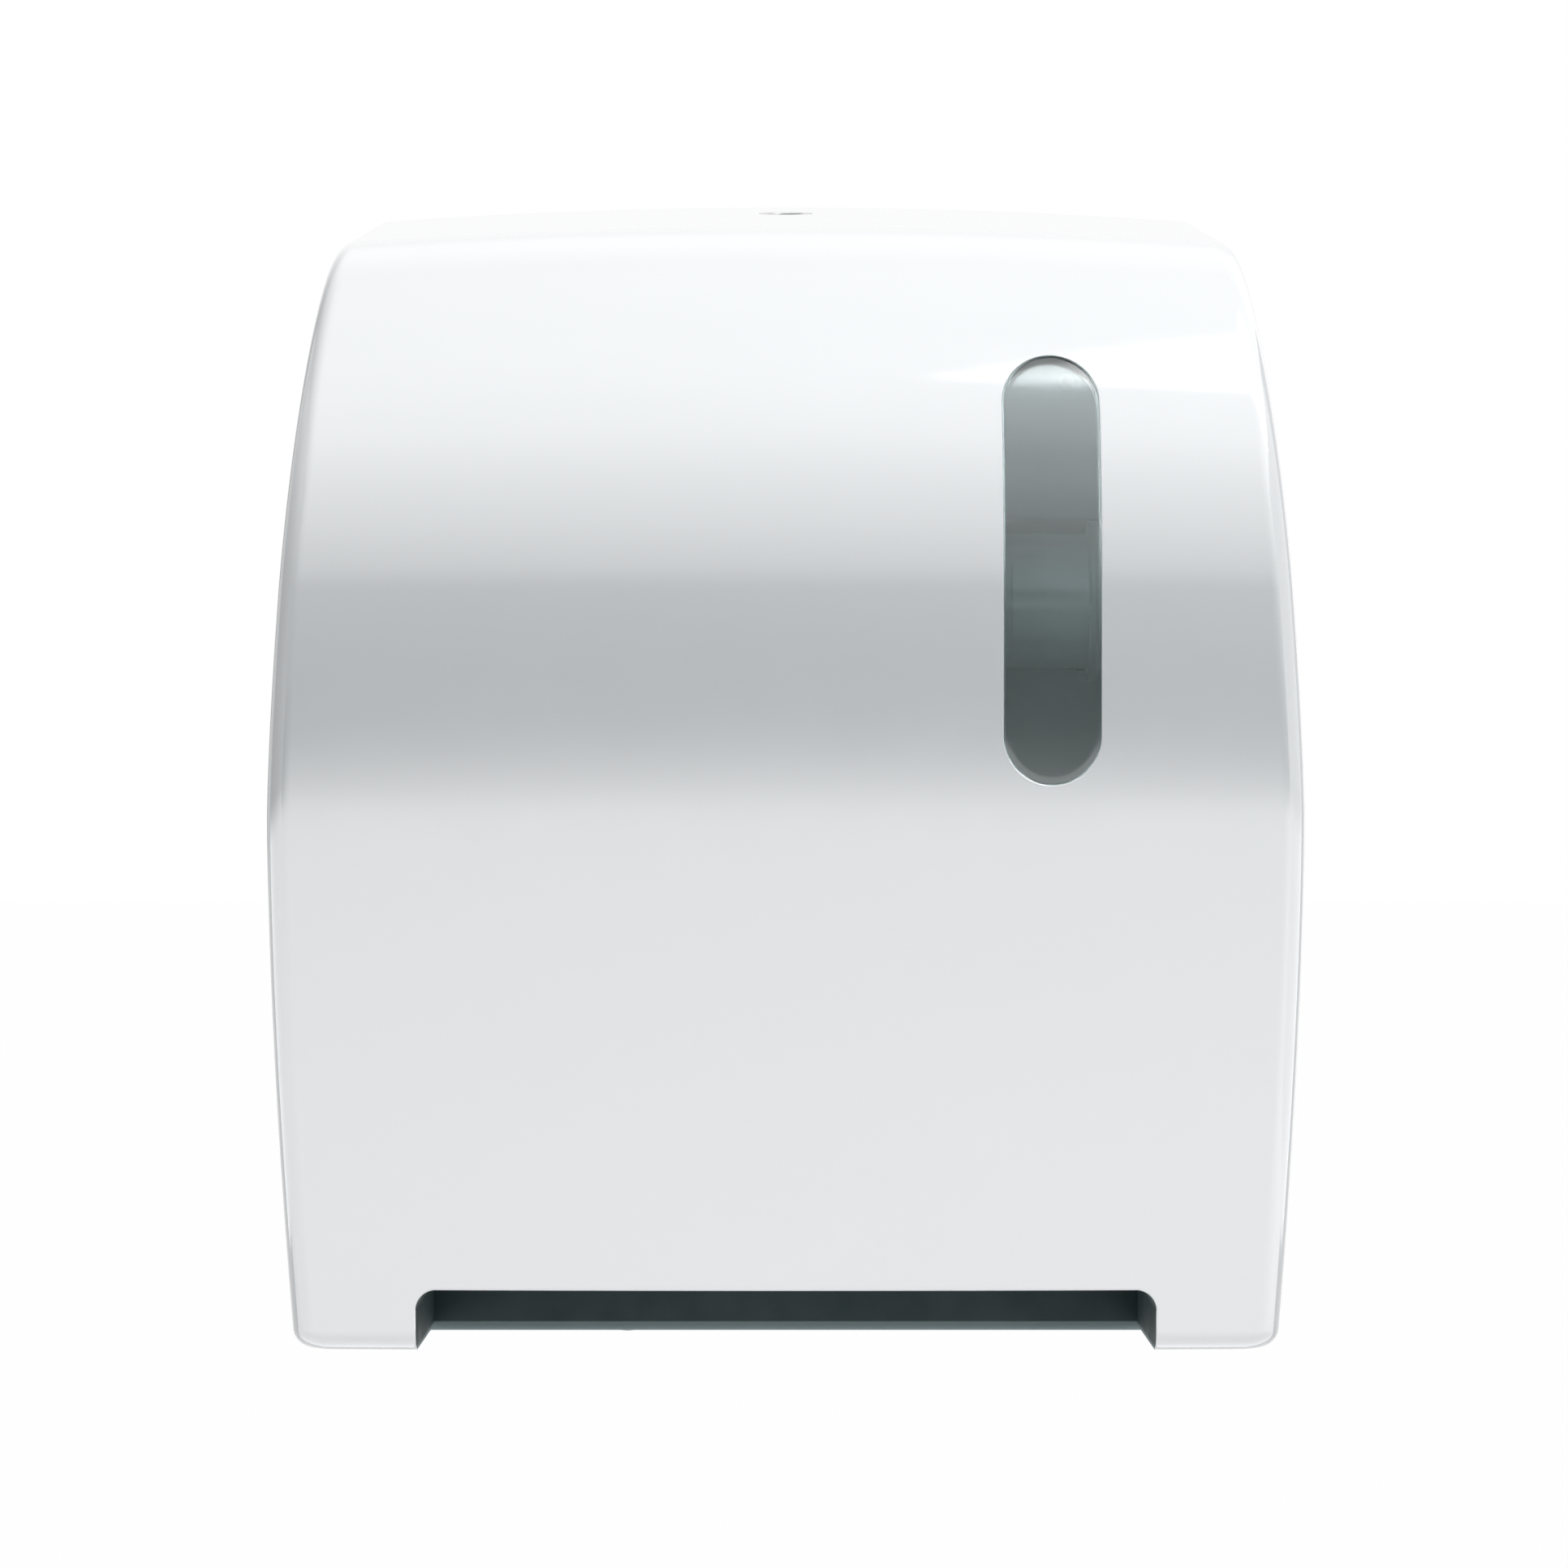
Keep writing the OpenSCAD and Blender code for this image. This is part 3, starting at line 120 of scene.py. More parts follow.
# Sizes in millimetres
HINGE_RADII = {"boss": 7.0, "bore": 3.05}
HINGE_BORE = 9.0
LOCK_RADII = {
    "hole": 9.25, "thread": 9.0, "root": 8.6, "bore": 6.05, "barrel": 6.0, "nut": 11.0, "nut_bore": 8.4,
}
LOCK_DEEP = 12.0
THREAD_PITCH = 0.95
KEY_SLOT = (1.0, 4.0)
PANE = {"edge": 0.9, "gap": 0.1, "sunk": 0.6, "play": 0.15, "flange": 1.4, "chamfer": 0.3, "core": 0.4}
GUARD_WALL = 2.5
GUARD_EASE = 0.35
EYE = {"tip": 0.15, "radius": 3.5, "bulge": 0.9, "hole": 3.55}
# Heights above the foot where the painted highlight on the guard's lip fades out
LIP_HIGHLIGHT_EDGE = (0.8, 1.3)
HUB_RADII = {"bore": 5.05, "flange": 27.0, "plug": 22.5}
HUB_FLANGE = 3.5
HUB_SIDES = 144
FLUTES = 8
FLUTE_DEPTH = 0.9
GRIP_WIDTH = 34.0
GRIP_RADII = {"bore": 18.52, "tread": 20.0, "groove": 19.55}
GRIP_RIDGES = 14
PINCH_WIDTH = 30.0
PINCH_RADII = {"bore": 3.02, "tread": 11.0, "groove": 10.5}
ROLLER_RADII = {"bore": 4.02, "step": 12.0, "core": 18.5}
CELL = 33.0
CELL_GAP = 0.3

# Radius, wire and turns of the springs
PINCH_COIL = (3.5, 1.0, 6)
ARM_COIL = (3.2, 0.9, 4)

# In metres: the fixed end of the pinch springs, and the middle, half height and soft edge of the painted
# shadow line on the panel
PANEL_SHADOW_LINE = (0.0226, 0.0028, 0.0006)

# Width of the camera's sensor in millimetres
SENSOR = 36.0

# Floor: its grey, and the radii between which it turns to plain white
FLOOR_GREY = (0.88, 0.88, 0.88, 1)
FLOOR_FADE = {"From Min": 0.9, "From Max": 1.9, "To Min": 0.8, "To Max": 0.99}
FLOOR_SIDES = 96

# Light: cards that only gloss and the pane show. The bent one runs in under the front, up before it,
# overhead and down behind, as depths before the wall, heights and levels
WORLD_LEVEL = 0.34
CARD_HALF = 2.7
CARD_REACH = (-2.6, 1.0)
CARD_LOW = -0.15
CARD_CEILING = 1.89
CARD_LEFT = ((-2.2, -0.8), (0.5, 1.0))
CARD_RIGHT = ((0.9, 2.4), (0.0, 0.5))
CARD_BEND = (
    (-0.1, -0.695, 2.2), (0.9, -0.695, 2.95), (2.45, -0.695, 2.95), (2.6, -0.55, 2.85), (2.6, -0.179, 2.5),
    (2.6, -0.148, 1.5), (2.6, -0.118, 0.85), (2.6, -0.089, 0.4), (2.6, -0.061, 0.2), (2.6, 0.0, 0.12),
    (2.6, 0.06, 0.3), (2.6, 0.36, 1.1), (2.6, 0.93, 1.7), (2.6, 1.62, 2.15), (2.6, 1.75, 2.25),
    (2.45, 1.9, 2.4), (1.9, 1.9, 2.7), (1.2, 1.9, 2.8), (0.7, 1.9, 2.75), (0.35, 1.9, 2.55),
    (0.0, 1.9, 2.35), (-0.84, 1.9, 1.75), (-3.0, 1.9, 1.15), (-3.0, 0.6, 0.95), (-3.0, -0.6, 0.95),
)
CARD_SIDES = {
    -1: ((-0.695, 3.0), (-0.18, 2.7), (-0.08, 0.5), (0.4, 0.6), (1.0, 0.9), (1.9, 1.4)),
    1: ((-0.695, 3.0), (-0.18, 2.7), (-0.08, 1.8), (0.4, 1.9), (1.0, 1.8), (1.9, 2.0)),
}
# A brighter patch overhead at the right: its depths, where it starts at the left, its soft edge and its lift
CARD_PATCH = ((-0.2, -0.1, 1.05, 1.1), (0.62, 0.16), 0.2, 8.0)
# What shows through the pane: levels by height, and those of the strip that its back mirrors
CARD_THROUGH = ((0.0, 0.9), (0.1, 13.0))
PANE_STRIP = (-0.3, 0.0, 1.0, 1.3)
PANE_MIRROR = ((1.05, 1.15, 1.38, 1.6, 2.05, 2.45), (12.0, 6.2, 4.8, 4.0, 3.0, 2.0))
PANE_FRONT = ((0.6, 1.7), (0.6, 2.6))
# Lamps: place, aim, width and height, and watts
LAMPS = {
    "key_soft_box": ((0.5, -1.0, 1.48), (0.0, -0.1, 0.0), (1.2, 1.0), 15.5),
    "low_fill": ((0.0, -1.5, -0.55), (0.0, -0.2, -0.2), (1.6, 0.4), 1.0),
    "floor_bounce": ((0.0, -0.05, -0.66), (0.0, 0.0, 0.0), (2.0, 0.3), 0.8),
}

# Width of the softened edges in millimetres
EDGE = 0.4
EDGES = {
    "tear_bar": 0.15, "chassis_screws": 0.25, "battery_contacts": 0.15, "lock_cam": 0.3, "lock_strike": 0.3,
}

SLOTS = {part["node"]: part["material_slot"] for part in frame["record"]["subparts"]}
FINISHES = {}


def length(name, description, default):
    """A size in metres that a user may change."""
    return FloatProperty(name=name, description=description, default=default, unit="LENGTH", precision=4)


def colour(name, description, default):
    """A finish's base colour."""
    return FloatVectorProperty(
        name=name, description=description, default=default, size=3, min=0, max=1, subtype="COLOR"
    )


class CoverSizes(bpy.types.PropertyGroup):
    """Sizes of the moulded cover."""

    width: length("Width", "Greatest width of the cover", 0.330)
    height: length("Height", "Height of the cover", 0.386)
    depth: length("Depth", "Depth of the cover from the wall", 0.225)
    wall: length("Wall", "Wall of the cover", 0.0025)
    edge: length("Edge radius", "Radius between the front and the sides", 0.008)
    foot: length("Foot radius", "Radius around the foot", 0.0065)
    crown: length("Crown", "How far the front bulges", 0.0055)
    tuck: length("Tuck", "How far the front leans back at the foot", 0.009)
    top_taper: length("Top taper", "How much each side draws in towards the top", 0.0174)
    foot_taper: length("Foot taper", "How much each side draws in towards the foot", 0.0083)
    wide_height: length("Widest height", "Height of the widest place", 0.170)
    shoulder_height: length("Shoulder height", "Height where the front starts to curve back", 0.242)
    shoulder_depth: length("Shoulder depth", "Depth of the centre of the shoulder", 0.112)
    wall_gap: length("Wall gap", "Gap between the cover and the wall", 0.0015)


class OpeningSizes(bpy.types.PropertyGroup):
    """Sizes of the window and of the paper slot."""

    window_width: length("Window width", "Width of the window opening", 0.0310)
    window_side: length("Window place", "Distance of the window from the middle", 0.0843)
    window_low: length("Window low", "Lower end of the window opening", 0.1797)
    window_high: length("Window high", "Upper end of the window opening", 0.3173)
    window_flange: length("Window flange", "Width of the flange behind the cover", 0.004)
    window_rim: length("Window rim", "Rounding of the rim of the opening", 0.0005)
    slot_width: length("Slot width", "Width of the slot in the foot", 0.235)
    slot_height: length("Slot height", "Height of the slot above the foot", 0.0196)
    slot_corner: length("Slot corner", "Radius of the upper corners of the slot", 0.0065)
    slot_back: length("Slot back", "Depth where the slot ends", 0.118)
    slot_rim: length("Slot rim", "Rounding of the rim of the slot", 0.0008)


class FinishColours(bpy.types.PropertyGroup):
    """Base colours of the finishes."""

    cover: colour("Cover", "White of the moulded cover", (0.838, 0.868, 0.893))
    window: colour("Window", "Smoke grey of the window", (0.7, 0.805, 0.815))
    panel: colour("Panel", "Grey of the wall panel", (0.27, 0.28, 0.285))
    works: colour("Works", "Dark grey of the plates and the box", (0.075, 0.083, 0.088))
    guard: colour("Guard", "Dark grey of the paper guard", (0.012, 0.024, 0.026))
    hub: colour("Hub", "Pale grey of the roll hubs", (0.36, 0.365, 0.355))
    steel: colour("Steel", "Bright drawn steel", (0.47, 0.47, 0.48))
    plated: colour("Plated", "Plated lock", (0.4, 0.4, 0.41))
    brass: colour("Brass", "Turned brass", (0.72, 0.53, 0.24))
    rubber: colour("Rubber", "Rubber of the rollers", (0.028, 0.028, 0.029))
    gear: colour("Gear", "Ivory of the gears", (0.76, 0.745, 0.68))
    roller: colour("Roller", "White of the drive roller", (0.68, 0.685, 0.66))
    board: colour("Board", "Green of the circuit boards", (0.012, 0.115, 0.045))
    cell: colour("Cell", "Sleeve of the battery cells", (0.5, 0.33, 0.07))
    button: colour("Button", "Blue of the feed button", (0.03, 0.14, 0.36))
    light: colour("Light", "Green of the status light", (0.08, 0.5, 0.12))
    switch: colour("Switch", "Black of the mode switch", (0.016, 0.016, 0.017))
    lens: colour("Lens", "Dark lens of the hand sensor", (0.016, 0.009, 0.014))


class StageSizes(bpy.types.PropertyGroup):
    """Sizes of the floor, the camera and the light."""

    floor_drop: length("Floor drop", "Height of the wall screws above the floor", 0.70)
    floor_radius: length("Floor radius", "Radius of the round floor", 40.0)
    camera_distance: length("Camera distance", "Distance of the camera from the wall", 2.025)
    camera_height: length("Camera height", "Height of the camera from the wall screws", -0.080)
    camera_side: length("Camera side", "Distance of the camera from the middle", -0.0006)
    camera_aim: length("Camera aim", "Height that the camera looks at", -0.0686)
    lens: FloatProperty(name="Lens", description="Focal length of the camera in millimetres", default=131.0)


class DispenserSettings(bpy.types.PropertyGroup):
    """All that a user may change."""

    cover: PointerProperty(type=CoverSizes)
    openings: PointerProperty(type=OpeningSizes)
    colours: PointerProperty(type=FinishColours)
    stage: PointerProperty(type=StageSizes)


def settings():
    return bpy.context.scene.dispenser


# Shape of the cover, with depths from the wall and heights from the foot in millimetres


def place(x, d, z):
    """A width, a depth and a height in millimetres as a point of the frame in metres."""
    x, d, z = np.broadcast_arrays(np.asarray(x, float), d, z)
    return np.stack([x * MM, -d * MM, (z - SCREW_HEIGHT) * MM], axis=-1)


class CoverShape:
    """The skin of the cover as rows that run from the foot up the front and back to the wall."""

    def __init__(self, sizes):
        for name in CoverSizes.__annotations__:
            setattr(self, name, getattr(sizes, name) * 1000)
        self.reach = self.depth - self.shoulder_depth
        sine, cosine = math.sin(SHOULDER_END), math.cos(SHOULDER_END)
        run = (self.shoulder_depth + self.reach * cosine - self.wall_gap) * cosine
        self.rise = (self.height - self.shoulder_height) / (sine + run / (self.reach * sine))
        self.slope = math.atan2(self.rise * cosine, self.reach * sine)
        self.profiles = {}

    def half(self, z):
        up = np.clip((z - self.wide_height) / (self.height - self.wide_height), 0, None)
        down = np.clip((self.wide_height - z) / self.wide_height, 0, None)
        drawn = self.top_taper * up ** TAPER_POWERS[0] + self.foot_taper * down ** TAPER_POWERS[1]
        return self.width / 2 - drawn

    def front(self, z):
        return self.depth - self.tuck * (1 - z / self.shoulder_height) ** 2

    def top(self, d):
        return self.height - (d - self.wall_gap) * math.tan(self.slope)

    def wall_height(self, share, w):
        top = self.height - self.crown - w - self.edge - SIDE_END
        return self.shoulder_height + (top - self.shoulder_height) * share

    def rows(self, w, back):
        """Rows of the skin drawn in by w: depth, height, normal, half width and height at the wall."""
        made = []
        for a in np.linspace(math.pi / 2, 0, FINE["foot"], endpoint=False):
            r = self.foot - w
            z = w + r * (1 - math.sin(a))
            pull = w + r * (1 - math.cos(a))
            made.append((self.front(z) - pull, z, 1, 0, self.half(z) - pull, z))
        for z in np.linspace(self.foot, self.shoulder_height, FINE["front"], endpoint=False):
            made.append((self.front(z) - w, z, 1, 0, self.half(z) - w, z))
        for a in np.linspace(0, SHOULDER_END, FINE["shoulder"] + 1):
            n = np.array([self.rise * math.cos(a), self.reach * math.sin(a)])
            n /= np.linalg.norm(n)
            z = self.shoulder_height + self.rise * math.sin(a)
            d = self.shoulder_depth + self.reach * math.cos(a)
            at_wall = self.wall_height(SHOULDER_SHARE * a / SHOULDER_END, w)
            made.append((d - w * n[0], z - w * n[1], n[0], n[1], self.half(z) - w, at_wall))
        start = self.shoulder_depth + self.reach * math.cos(SHOULDER_END) - w * math.sin(self.slope)
        for t in np.linspace(0, 1, FINE["top"] + 1)[1:]:
            d = start + (back - start) * t
            z = self.top(d) - w / math.cos(self.slope)
            k = max(0.0, 3 * t - 2)
            n = (math.sin(self.slope) * (1 - k), math.cos(self.slope) * (1 - k) + k)
            at_wall = self.wall_height(SHOULDER_SHARE + (1 - SHOULDER_SHARE) * t, w)
            made.append((d, z, n[0], n[1], self.half(min(z, self.height)) - w, at_wall))
        return made

    def columns(self, row, w, back):
        """The points of one row, from the wall on the left over the front to the wall on the right."""
        d, z, nd, nz, half, at_wall = row
        r = self.edge - w
        flat = half - r
        drop = self.crown * (flat / half) ** 2
        rim_d, rim_z = d - (drop + r) * nd, z - (drop + r) * nz
        s = np.linspace(0, 1, FINE["strip"], endpoint=False)
        strip_z = at_wall + (rim_z - at_wall) * s
        strip = place(self.half(strip_z) + half - self.half(rim_z), back + (rim_d - back) * s, strip_z)
        a = np.linspace(0, math.pi / 2, FINE["edge"], endpoint=False)
        inset = drop + r * (1 - np.sin(a))
        edge = place(flat + r * np.cos(a), d - inset * nd, z - inset * nz)
        right = np.concatenate([strip, edge])
        left = right * [-1, 1, 1]
        x = np.linspace(-flat, flat, FINE["across"] + 1)
        inset = self.crown * (x / half) ** 2
        return np.concatenate([left, place(x, d - inset * nd, z - inset * nz), right[::-1]])

    def grid(self, w, back):
        return np.array([self.columns(row, w, back) for row in self.rows(w, back)])

    def front_at(self, x, z, w):
        """Depth of the skin drawn in by w at a width and a height of the front."""
        if w not in self.profiles:
            self.profiles[w] = np.array(self.rows(w, self.wall_gap))[: -FINE["top"]]
        d, row_z, nd, nz, half, _ = self.profiles[w].T
        found = np.empty(len(x))
        for i, (px, pz) in enumerate(zip(x, z)):
            drop = self.crown * (px / half) ** 2
            found[i] = np.interp(pz, row_z - drop * nz, d - drop * nd)
        return found


# Meshes


def mesh_piece(name, points, faces):
    """A new object from points and faces, with its faces turned outwards."""
    mesh = bpy.data.meshes.new(name)
    mesh.from_pydata(np.reshape(points, (-1, 3)).tolist(), [], faces)
    shape = bmesh.new()
    shape.from_mesh(mesh)
    bmesh.ops.recalc_face_normals(shape, faces=shape.faces)
    shape.to_mesh(mesh)
    shape.free()
    piece = bpy.data.objects.new(name, mesh)
    bpy.context.collection.objects.link(piece)
    return piece


def ring_faces(n, m, closed=False):
    """Faces between n rings of m points, and from the last ring to the first where closed."""
    faces = []
    for i in range(n if closed else n - 1):
        a, b = i * m, (i + 1) % n * m
        faces += [(a + j, a + (j + 1) % m, b + (j + 1) % m, b + j) for j in range(m)]
    return faces


def grid_faces(n, m):
    """Faces of a sheet of n rows of m points."""
    corners = [i * m + j for i in range(n - 1) for j in range(m - 1)]
    return [(k, k + 1, k + m + 1, k + m) for k in corners]


def around(sides):
    """Angles round a full turn."""
    return np.linspace(0, 2 * math.pi, sides, endpoint=False)


def loft(name, rings, hollow=False):
    """A closed solid through rings of points. Strips close its ends, or the last ring joins the first."""
    rings = np.asarray(rings)
    n, m = rings.shape[:2]
    faces = ring_faces(n, m, hollow)
    if not hollow:
        for first in (0, (n - 1) * m):
            for j in range((m - 1) // 2):
                corners = (first + j, first + j + 1, first + m - 2 - j, first + m - 1 - j)
                faces.append(tuple(dict.fromkeys(corners)))
    return mesh_piece(name, rings, faces)


def spun(profile, at, axis="x", sides=96):
    """Rings of a turned piece: a place along the axis and a radius for each, about two middles."""
    turn = around(sides) + math.pi / sides
    rings = []
    for along, radius in profile:
        a, b = at[0] + radius * np.cos(turn), at[1] + radius * np.sin(turn)
        rings.append(place(*{"x": (along, a, b), "d": (a, along, b), "z": (a, b, along)}[axis]))
    return rings


def box_tool(x0, x1, d0, d1, z0, z1):
    """A block that cuts."""
    d, z = np.array([d0, d0, d1, d1]), np.array([z0, z1, z1, z0])
    return loft("block", [place(x0, d, z), place(x1, d, z)])


def settle(piece):
    """Applies the modifiers of a piece."""
    shaped = bpy.data.meshes.new_from_object(piece.evaluated_get(bpy.context.evaluated_depsgraph_get()))
    old = piece.data
    piece.modifiers.clear()
    piece.data = shaped
    shaped.name = piece.name
    bpy.data.meshes.remove(old)


def carve(piece, tool, operation="DIFFERENCE"):
    """Cuts a tool out of a piece, or joins it on, and drops the tool."""
    cut = piece.modifiers.new("carve", "BOOLEAN")
    cut.operation = operation
    cut.solver = "MANIFOLD"
    cut.object = tool
    settle(piece)
    mesh = tool.data
    bpy.data.objects.remove(tool)
    bpy.data.meshes.remove(mesh)
    if not piece.data.polygons:
        raise RuntimeError(f"nothing is left of {piece.name}")


def shade(piece, angle=40):
    """Smooth faces with hard edges where they meet at more than an angle."""
    piece.data.shade_smooth()
    piece.data.set_sharp_from_angle(angle=math.radians(angle))


def shade_skin(piece, grid):
    """Gives the faces that lie on a skin the normals of that skin, so that gloss runs smoothly over it."""
    shade(piece)
    n, m = grid.shape[:2]
    facing = np.cross(np.gradient(grid, axis=1), np.gradient(grid, axis=0)).reshape(-1, 3)
    facing /= np.linalg.norm(facing, axis=1)[:, None]
    points = [Vector(p) for p in grid.reshape(-1, 3)]
    quads = grid_faces(n, m)
    tree = BVHTree.FromPolygons(points, quads)
    mesh = piece.data
    normals = np.empty(len(mesh.loops) * 3, np.float32)
    mesh.corner_normals.foreach_get("vector", normals)
    normals = normals.reshape(-1, 3)
    for face in mesh.polygons:
        _, up, _, gap = tree.find_nearest(face.center)
        if gap > TOUCH * MM or up.dot(face.normal) < SAME_WAY:
            continue
        for corner in face.loop_indices:
            spot, _, index, _ = tree.find_nearest(mesh.vertices[mesh.loops[corner].vertex_index].co)
            weights = poly_3d_calc([points[k] for k in quads[index]], spot)
            normals[corner] = np.array(weights) @ facing[list(quads[index])]
    normals /= np.linalg.norm(normals, axis=1)[:, None]
    mesh.normals_split_custom_set(normals.tolist())


def stand_for(piece, node):
    """The piece takes the place, the body and the finish of a solid."""
    solid = frame["nodes"][node]
    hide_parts(node)
    piece.data.materials.clear()
    piece.data.materials.append(FINISHES[SLOTS[node]])
    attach(piece, solid["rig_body"])
    return piece


# Cover and window


def window_outline(openings, g):
    """Outline of the window grown by g, up its right half and down its left."""
    r, side = openings.window_width * 500, openings.window_side * 1000
    low, high = openings.window_low * 1000 + r, openings.window_high * 1000 - r
    a = np.radians(np.linspace(-87, 0, 24))
    up = np.linspace(low, high, 40)[1:-1]
    r += g
    x = np.concatenate([r * np.cos(a), np.full(len(up), r), r * np.cos(a[::-1])])
    z = np.concatenate([low + r * np.sin(a), up, high - r * np.sin(a[::-1])])
    return np.concatenate([side + x, (side - x)[::-1]]), np.concatenate([z, z[::-1]])


def slot_outline(openings, g):
    """Outline of the paper slot grown by g, up its left half and down its right."""
    half, top = openings.slot_width * 500 + g, openings.slot_height * 1000 + g
    r = openings.slot_corner * 1000 + g
    a = np.linspace(0, math.pi / 2, 12)
    up = np.linspace(-1, top - r, 28)[:-1]
    over = np.linspace(half - r, 1.5, 40)[1:]
    x = np.concatenate([np.full(len(up), half), half - r + r * np.cos(a), over])
    z = np.concatenate([up, top - r + r * np.sin(a), np.full(len(over), top)])
    return np.concatenate([-x, x[::-1]]), np.concatenate([z, z[::-1]])


def flared_tool(name, shape, outline, openings, rim, deep):
    """A cutter that opens out to a rounded rim where it meets the skin of the cover."""
    bends = [(rim, -4.0)]
    bends += [(rim * (1 - math.sin(a)), rim * (1 - math.cos(a))) for a in np.linspace(0, math.pi / 2, 7)]
    rings = []
    for g, e in bends:
        x, z = outline(openings, g)
        rings.append(place(x, shape.front_at(x, z, e), z))
    rings.append(place(x, deep, z))
    return loft(name, rings)


def heel_tool(reach):
    """Clears the lower rear edge of the cover round the hinge."""
    t = np.linspace(0, 1, 33)
    a = math.pi * (1 + t / 2)
    out_d = np.clip(HINGE[0] * (2 * t - 1), 0, None) - 1
    out_z = np.clip(HINGE[1] - 30 * t, -1, None)
    out_d[-1] += 1
    arc_d, arc_z = HINGE[0] + HEEL * np.cos(a), HINGE[1] + HEEL * np.sin(a)
    d, z = np.concatenate([out_d, arc_d[::-1]]), np.concatenate([out_z, arc_z[::-1]])
    return loft("heel", [place(-reach, d, z), place(reach, d, z)])


def on_lock(shape, x, ahead, along):
    """Points about the lock: widths, ways ahead on the sloping top and a place along the lock's axis."""
    lean, rise = math.sin(shape.slope), math.cos(shape.slope)
    top = shape.top(LOCK_DEPTH)
    return place(x, LOCK_DEPTH + along * lean + ahead * rise, top + along * rise - ahead * lean)


def lock_rings(shape, profile, sides=96):
    """Rings square to the sloping top about the lock: a place along its axis and a radius for each."""
    turn = around(sides) + math.pi / sides
    return [on_lock(shape, radius * np.cos(turn), radius * np.sin(turn), along) for along, radius in profile]


def cover_shell(shape, openings):
    """The moulded shell with its slot, window, lock hole and hinge bosses."""
    skin = shape.grid(0, shape.wall_gap)
    cover = loft("front_cover.shell", skin)
    cavity = loft("cavity", shape.grid(shape.wall, -1))
    back = openings.slot_back * 1000
    x, z = slot_outline(openings, shape.wall)
    carve(cavity, loft("slot_wall", [place(x, back, z), place(x, shape.depth + 1, z)]))
    carve(cover, cavity)
    boss_end = float(shape.half(HINGE[1])) - shape.wall / 2
    for side in (-1, 1):
        boss = [(side * end, HINGE_RADII["boss"]) for end in (HINGE_BOSS, boss_end)]
        carve(cover, loft("boss", spun(boss, HINGE)), "UNION")
        bore = [(side * end, HINGE_RADII["bore"]) for end in (HINGE_BOSS - 1, HINGE_BOSS + HINGE_BORE)]
        carve(cover, loft("bore", spun(bore, HINGE)))
    carve(cover, flared_tool("slot", shape, slot_outline, openings, openings.slot_rim * 1000, back - 1))
    carve(cover, box_tool(-HINGE_BOSS, HINGE_BOSS, -2, back, -1, shape.wall + 1))
    rim = openings.window_rim * 1000
    carve(cover, flared_tool("window", shape, window_outline, openings, rim, shape.shoulder_depth))
    hole = [(end, LOCK_RADII["hole"]) for end in (-LOCK_DEEP, LOCK_DEEP)]
    carve(cover, loft("lock_hole", lock_rings(shape, hole)))
    carve(cover, heel_tool(shape.width / 2 + 1))
    shade_skin(cover, skin)
    return cover


def paint_slot_shade(cover, openings):
    """Paints shade on the walls of the slot: they take the dark finish of the guard behind it."""
    cover.data.materials.append(FINISHES["guard_dark"])
    half = openings.slot_width / 2 + TOUCH * MM
    top = openings.slot_height - SCREW_HEIGHT * MM + TOUCH * MM
    back = openings.slot_back - SHADED_SLOT_END * MM
    for face in cover.data.polygons:
        x, y, z = face.center
        if abs(x) < half and z < top and back < -y and abs(face.normal.y) < SHADED_SLOT_WALL:
            # Painted shade: these walls of the white cover take the dark finish
            face.material_index = 1


def window_pane(shape, openings):
    """The smoke pane with its rounded edge and the flange that seats behind the cover."""
    edge, gap, sunk, chamfer = (PANE[key] for key in ("edge", "gap", "sunk", "chamfer"))
    flange, seat = openings.window_flange * 1000, shape.wall + PANE["play"]
    core, back = PANE["core"] - openings.window_width * 500, seat + PANE["flange"]
    path = [(core - (core + gap + edge) * t, sunk) for t in np.linspace(0, 1, 9)]
    for a in np.linspace(0, math.pi / 2, 8)[1:]:
        path.append((-gap - edge * (1 - math.sin(a)), sunk + edge * (1 - math.cos(a))))
    path += [(-gap, seat), (flange - chamfer, seat), (flange, seat + chamfer)]
    path += [(flange, back - chamfer), (flange - chamfer, back)]
    path += [(core + (flange - 2 * PANE["core"] - core) * t, back) for t in np.linspace(1, 0, 9)]
    rings = []
    for g, w in path:
        x, z = window_outline(openings, g)
        rings.append(place(x, shape.front_at(x, z, w), z))
    pane = loft("level_window.pane", rings)
    shade(pane)
    return pane


# Guard, springs and turned pieces


def eased(outline, steps=5):
    """A closed outline of points, each with a radius that rounds its corner."""
    made = []
    for i, (_, _, radius) in enumerate(outline):
        before, corner, after = (np.array(outline[(i + k) % len(outline)][:2], float) for k in (-1, 0, 1))
        u, v = before - corner, after - corner
        reach_u, reach_v = np.linalg.norm(u), np.linalg.norm(v)
        u, v = u / reach_u, v / reach_v
        half = math.acos(max(-1.0, min(1.0, float(u @ v)))) / 2
        reach = min(radius / math.tan(half), CORNER_SHARE * reach_u, CORNER_SHARE * reach_v)
        start, end = corner + u * reach, corner + v * reach
        for t in np.linspace(0, 1, steps + 1):
            made.append((1 - t) ** 2 * start + 2 * t * (1 - t) * corner + t**2 * end)
    return made


def merge(name, pieces):
    """One object of several."""
    shape = bmesh.new()
    for piece in pieces:
        shape.from_mesh(piece.data)
    mesh = bpy.data.meshes.new(name)
    shape.to_mesh(mesh)
    shape.free()
    for piece in pieces:
        old = piece.data
        bpy.data.objects.remove(piece)
        bpy.data.meshes.remove(old)
    whole = bpy.data.objects.new(name, mesh)
    bpy.context.collection.objects.link(whole)
    shade(whole)
    return whole


def ring_piece(outline, at, axis="x"):
    """A turned ring from its closed outline of places along the axis and radii, each with a rounding."""
    return loft("ring", spun(eased(outline), at, axis), hollow=True)


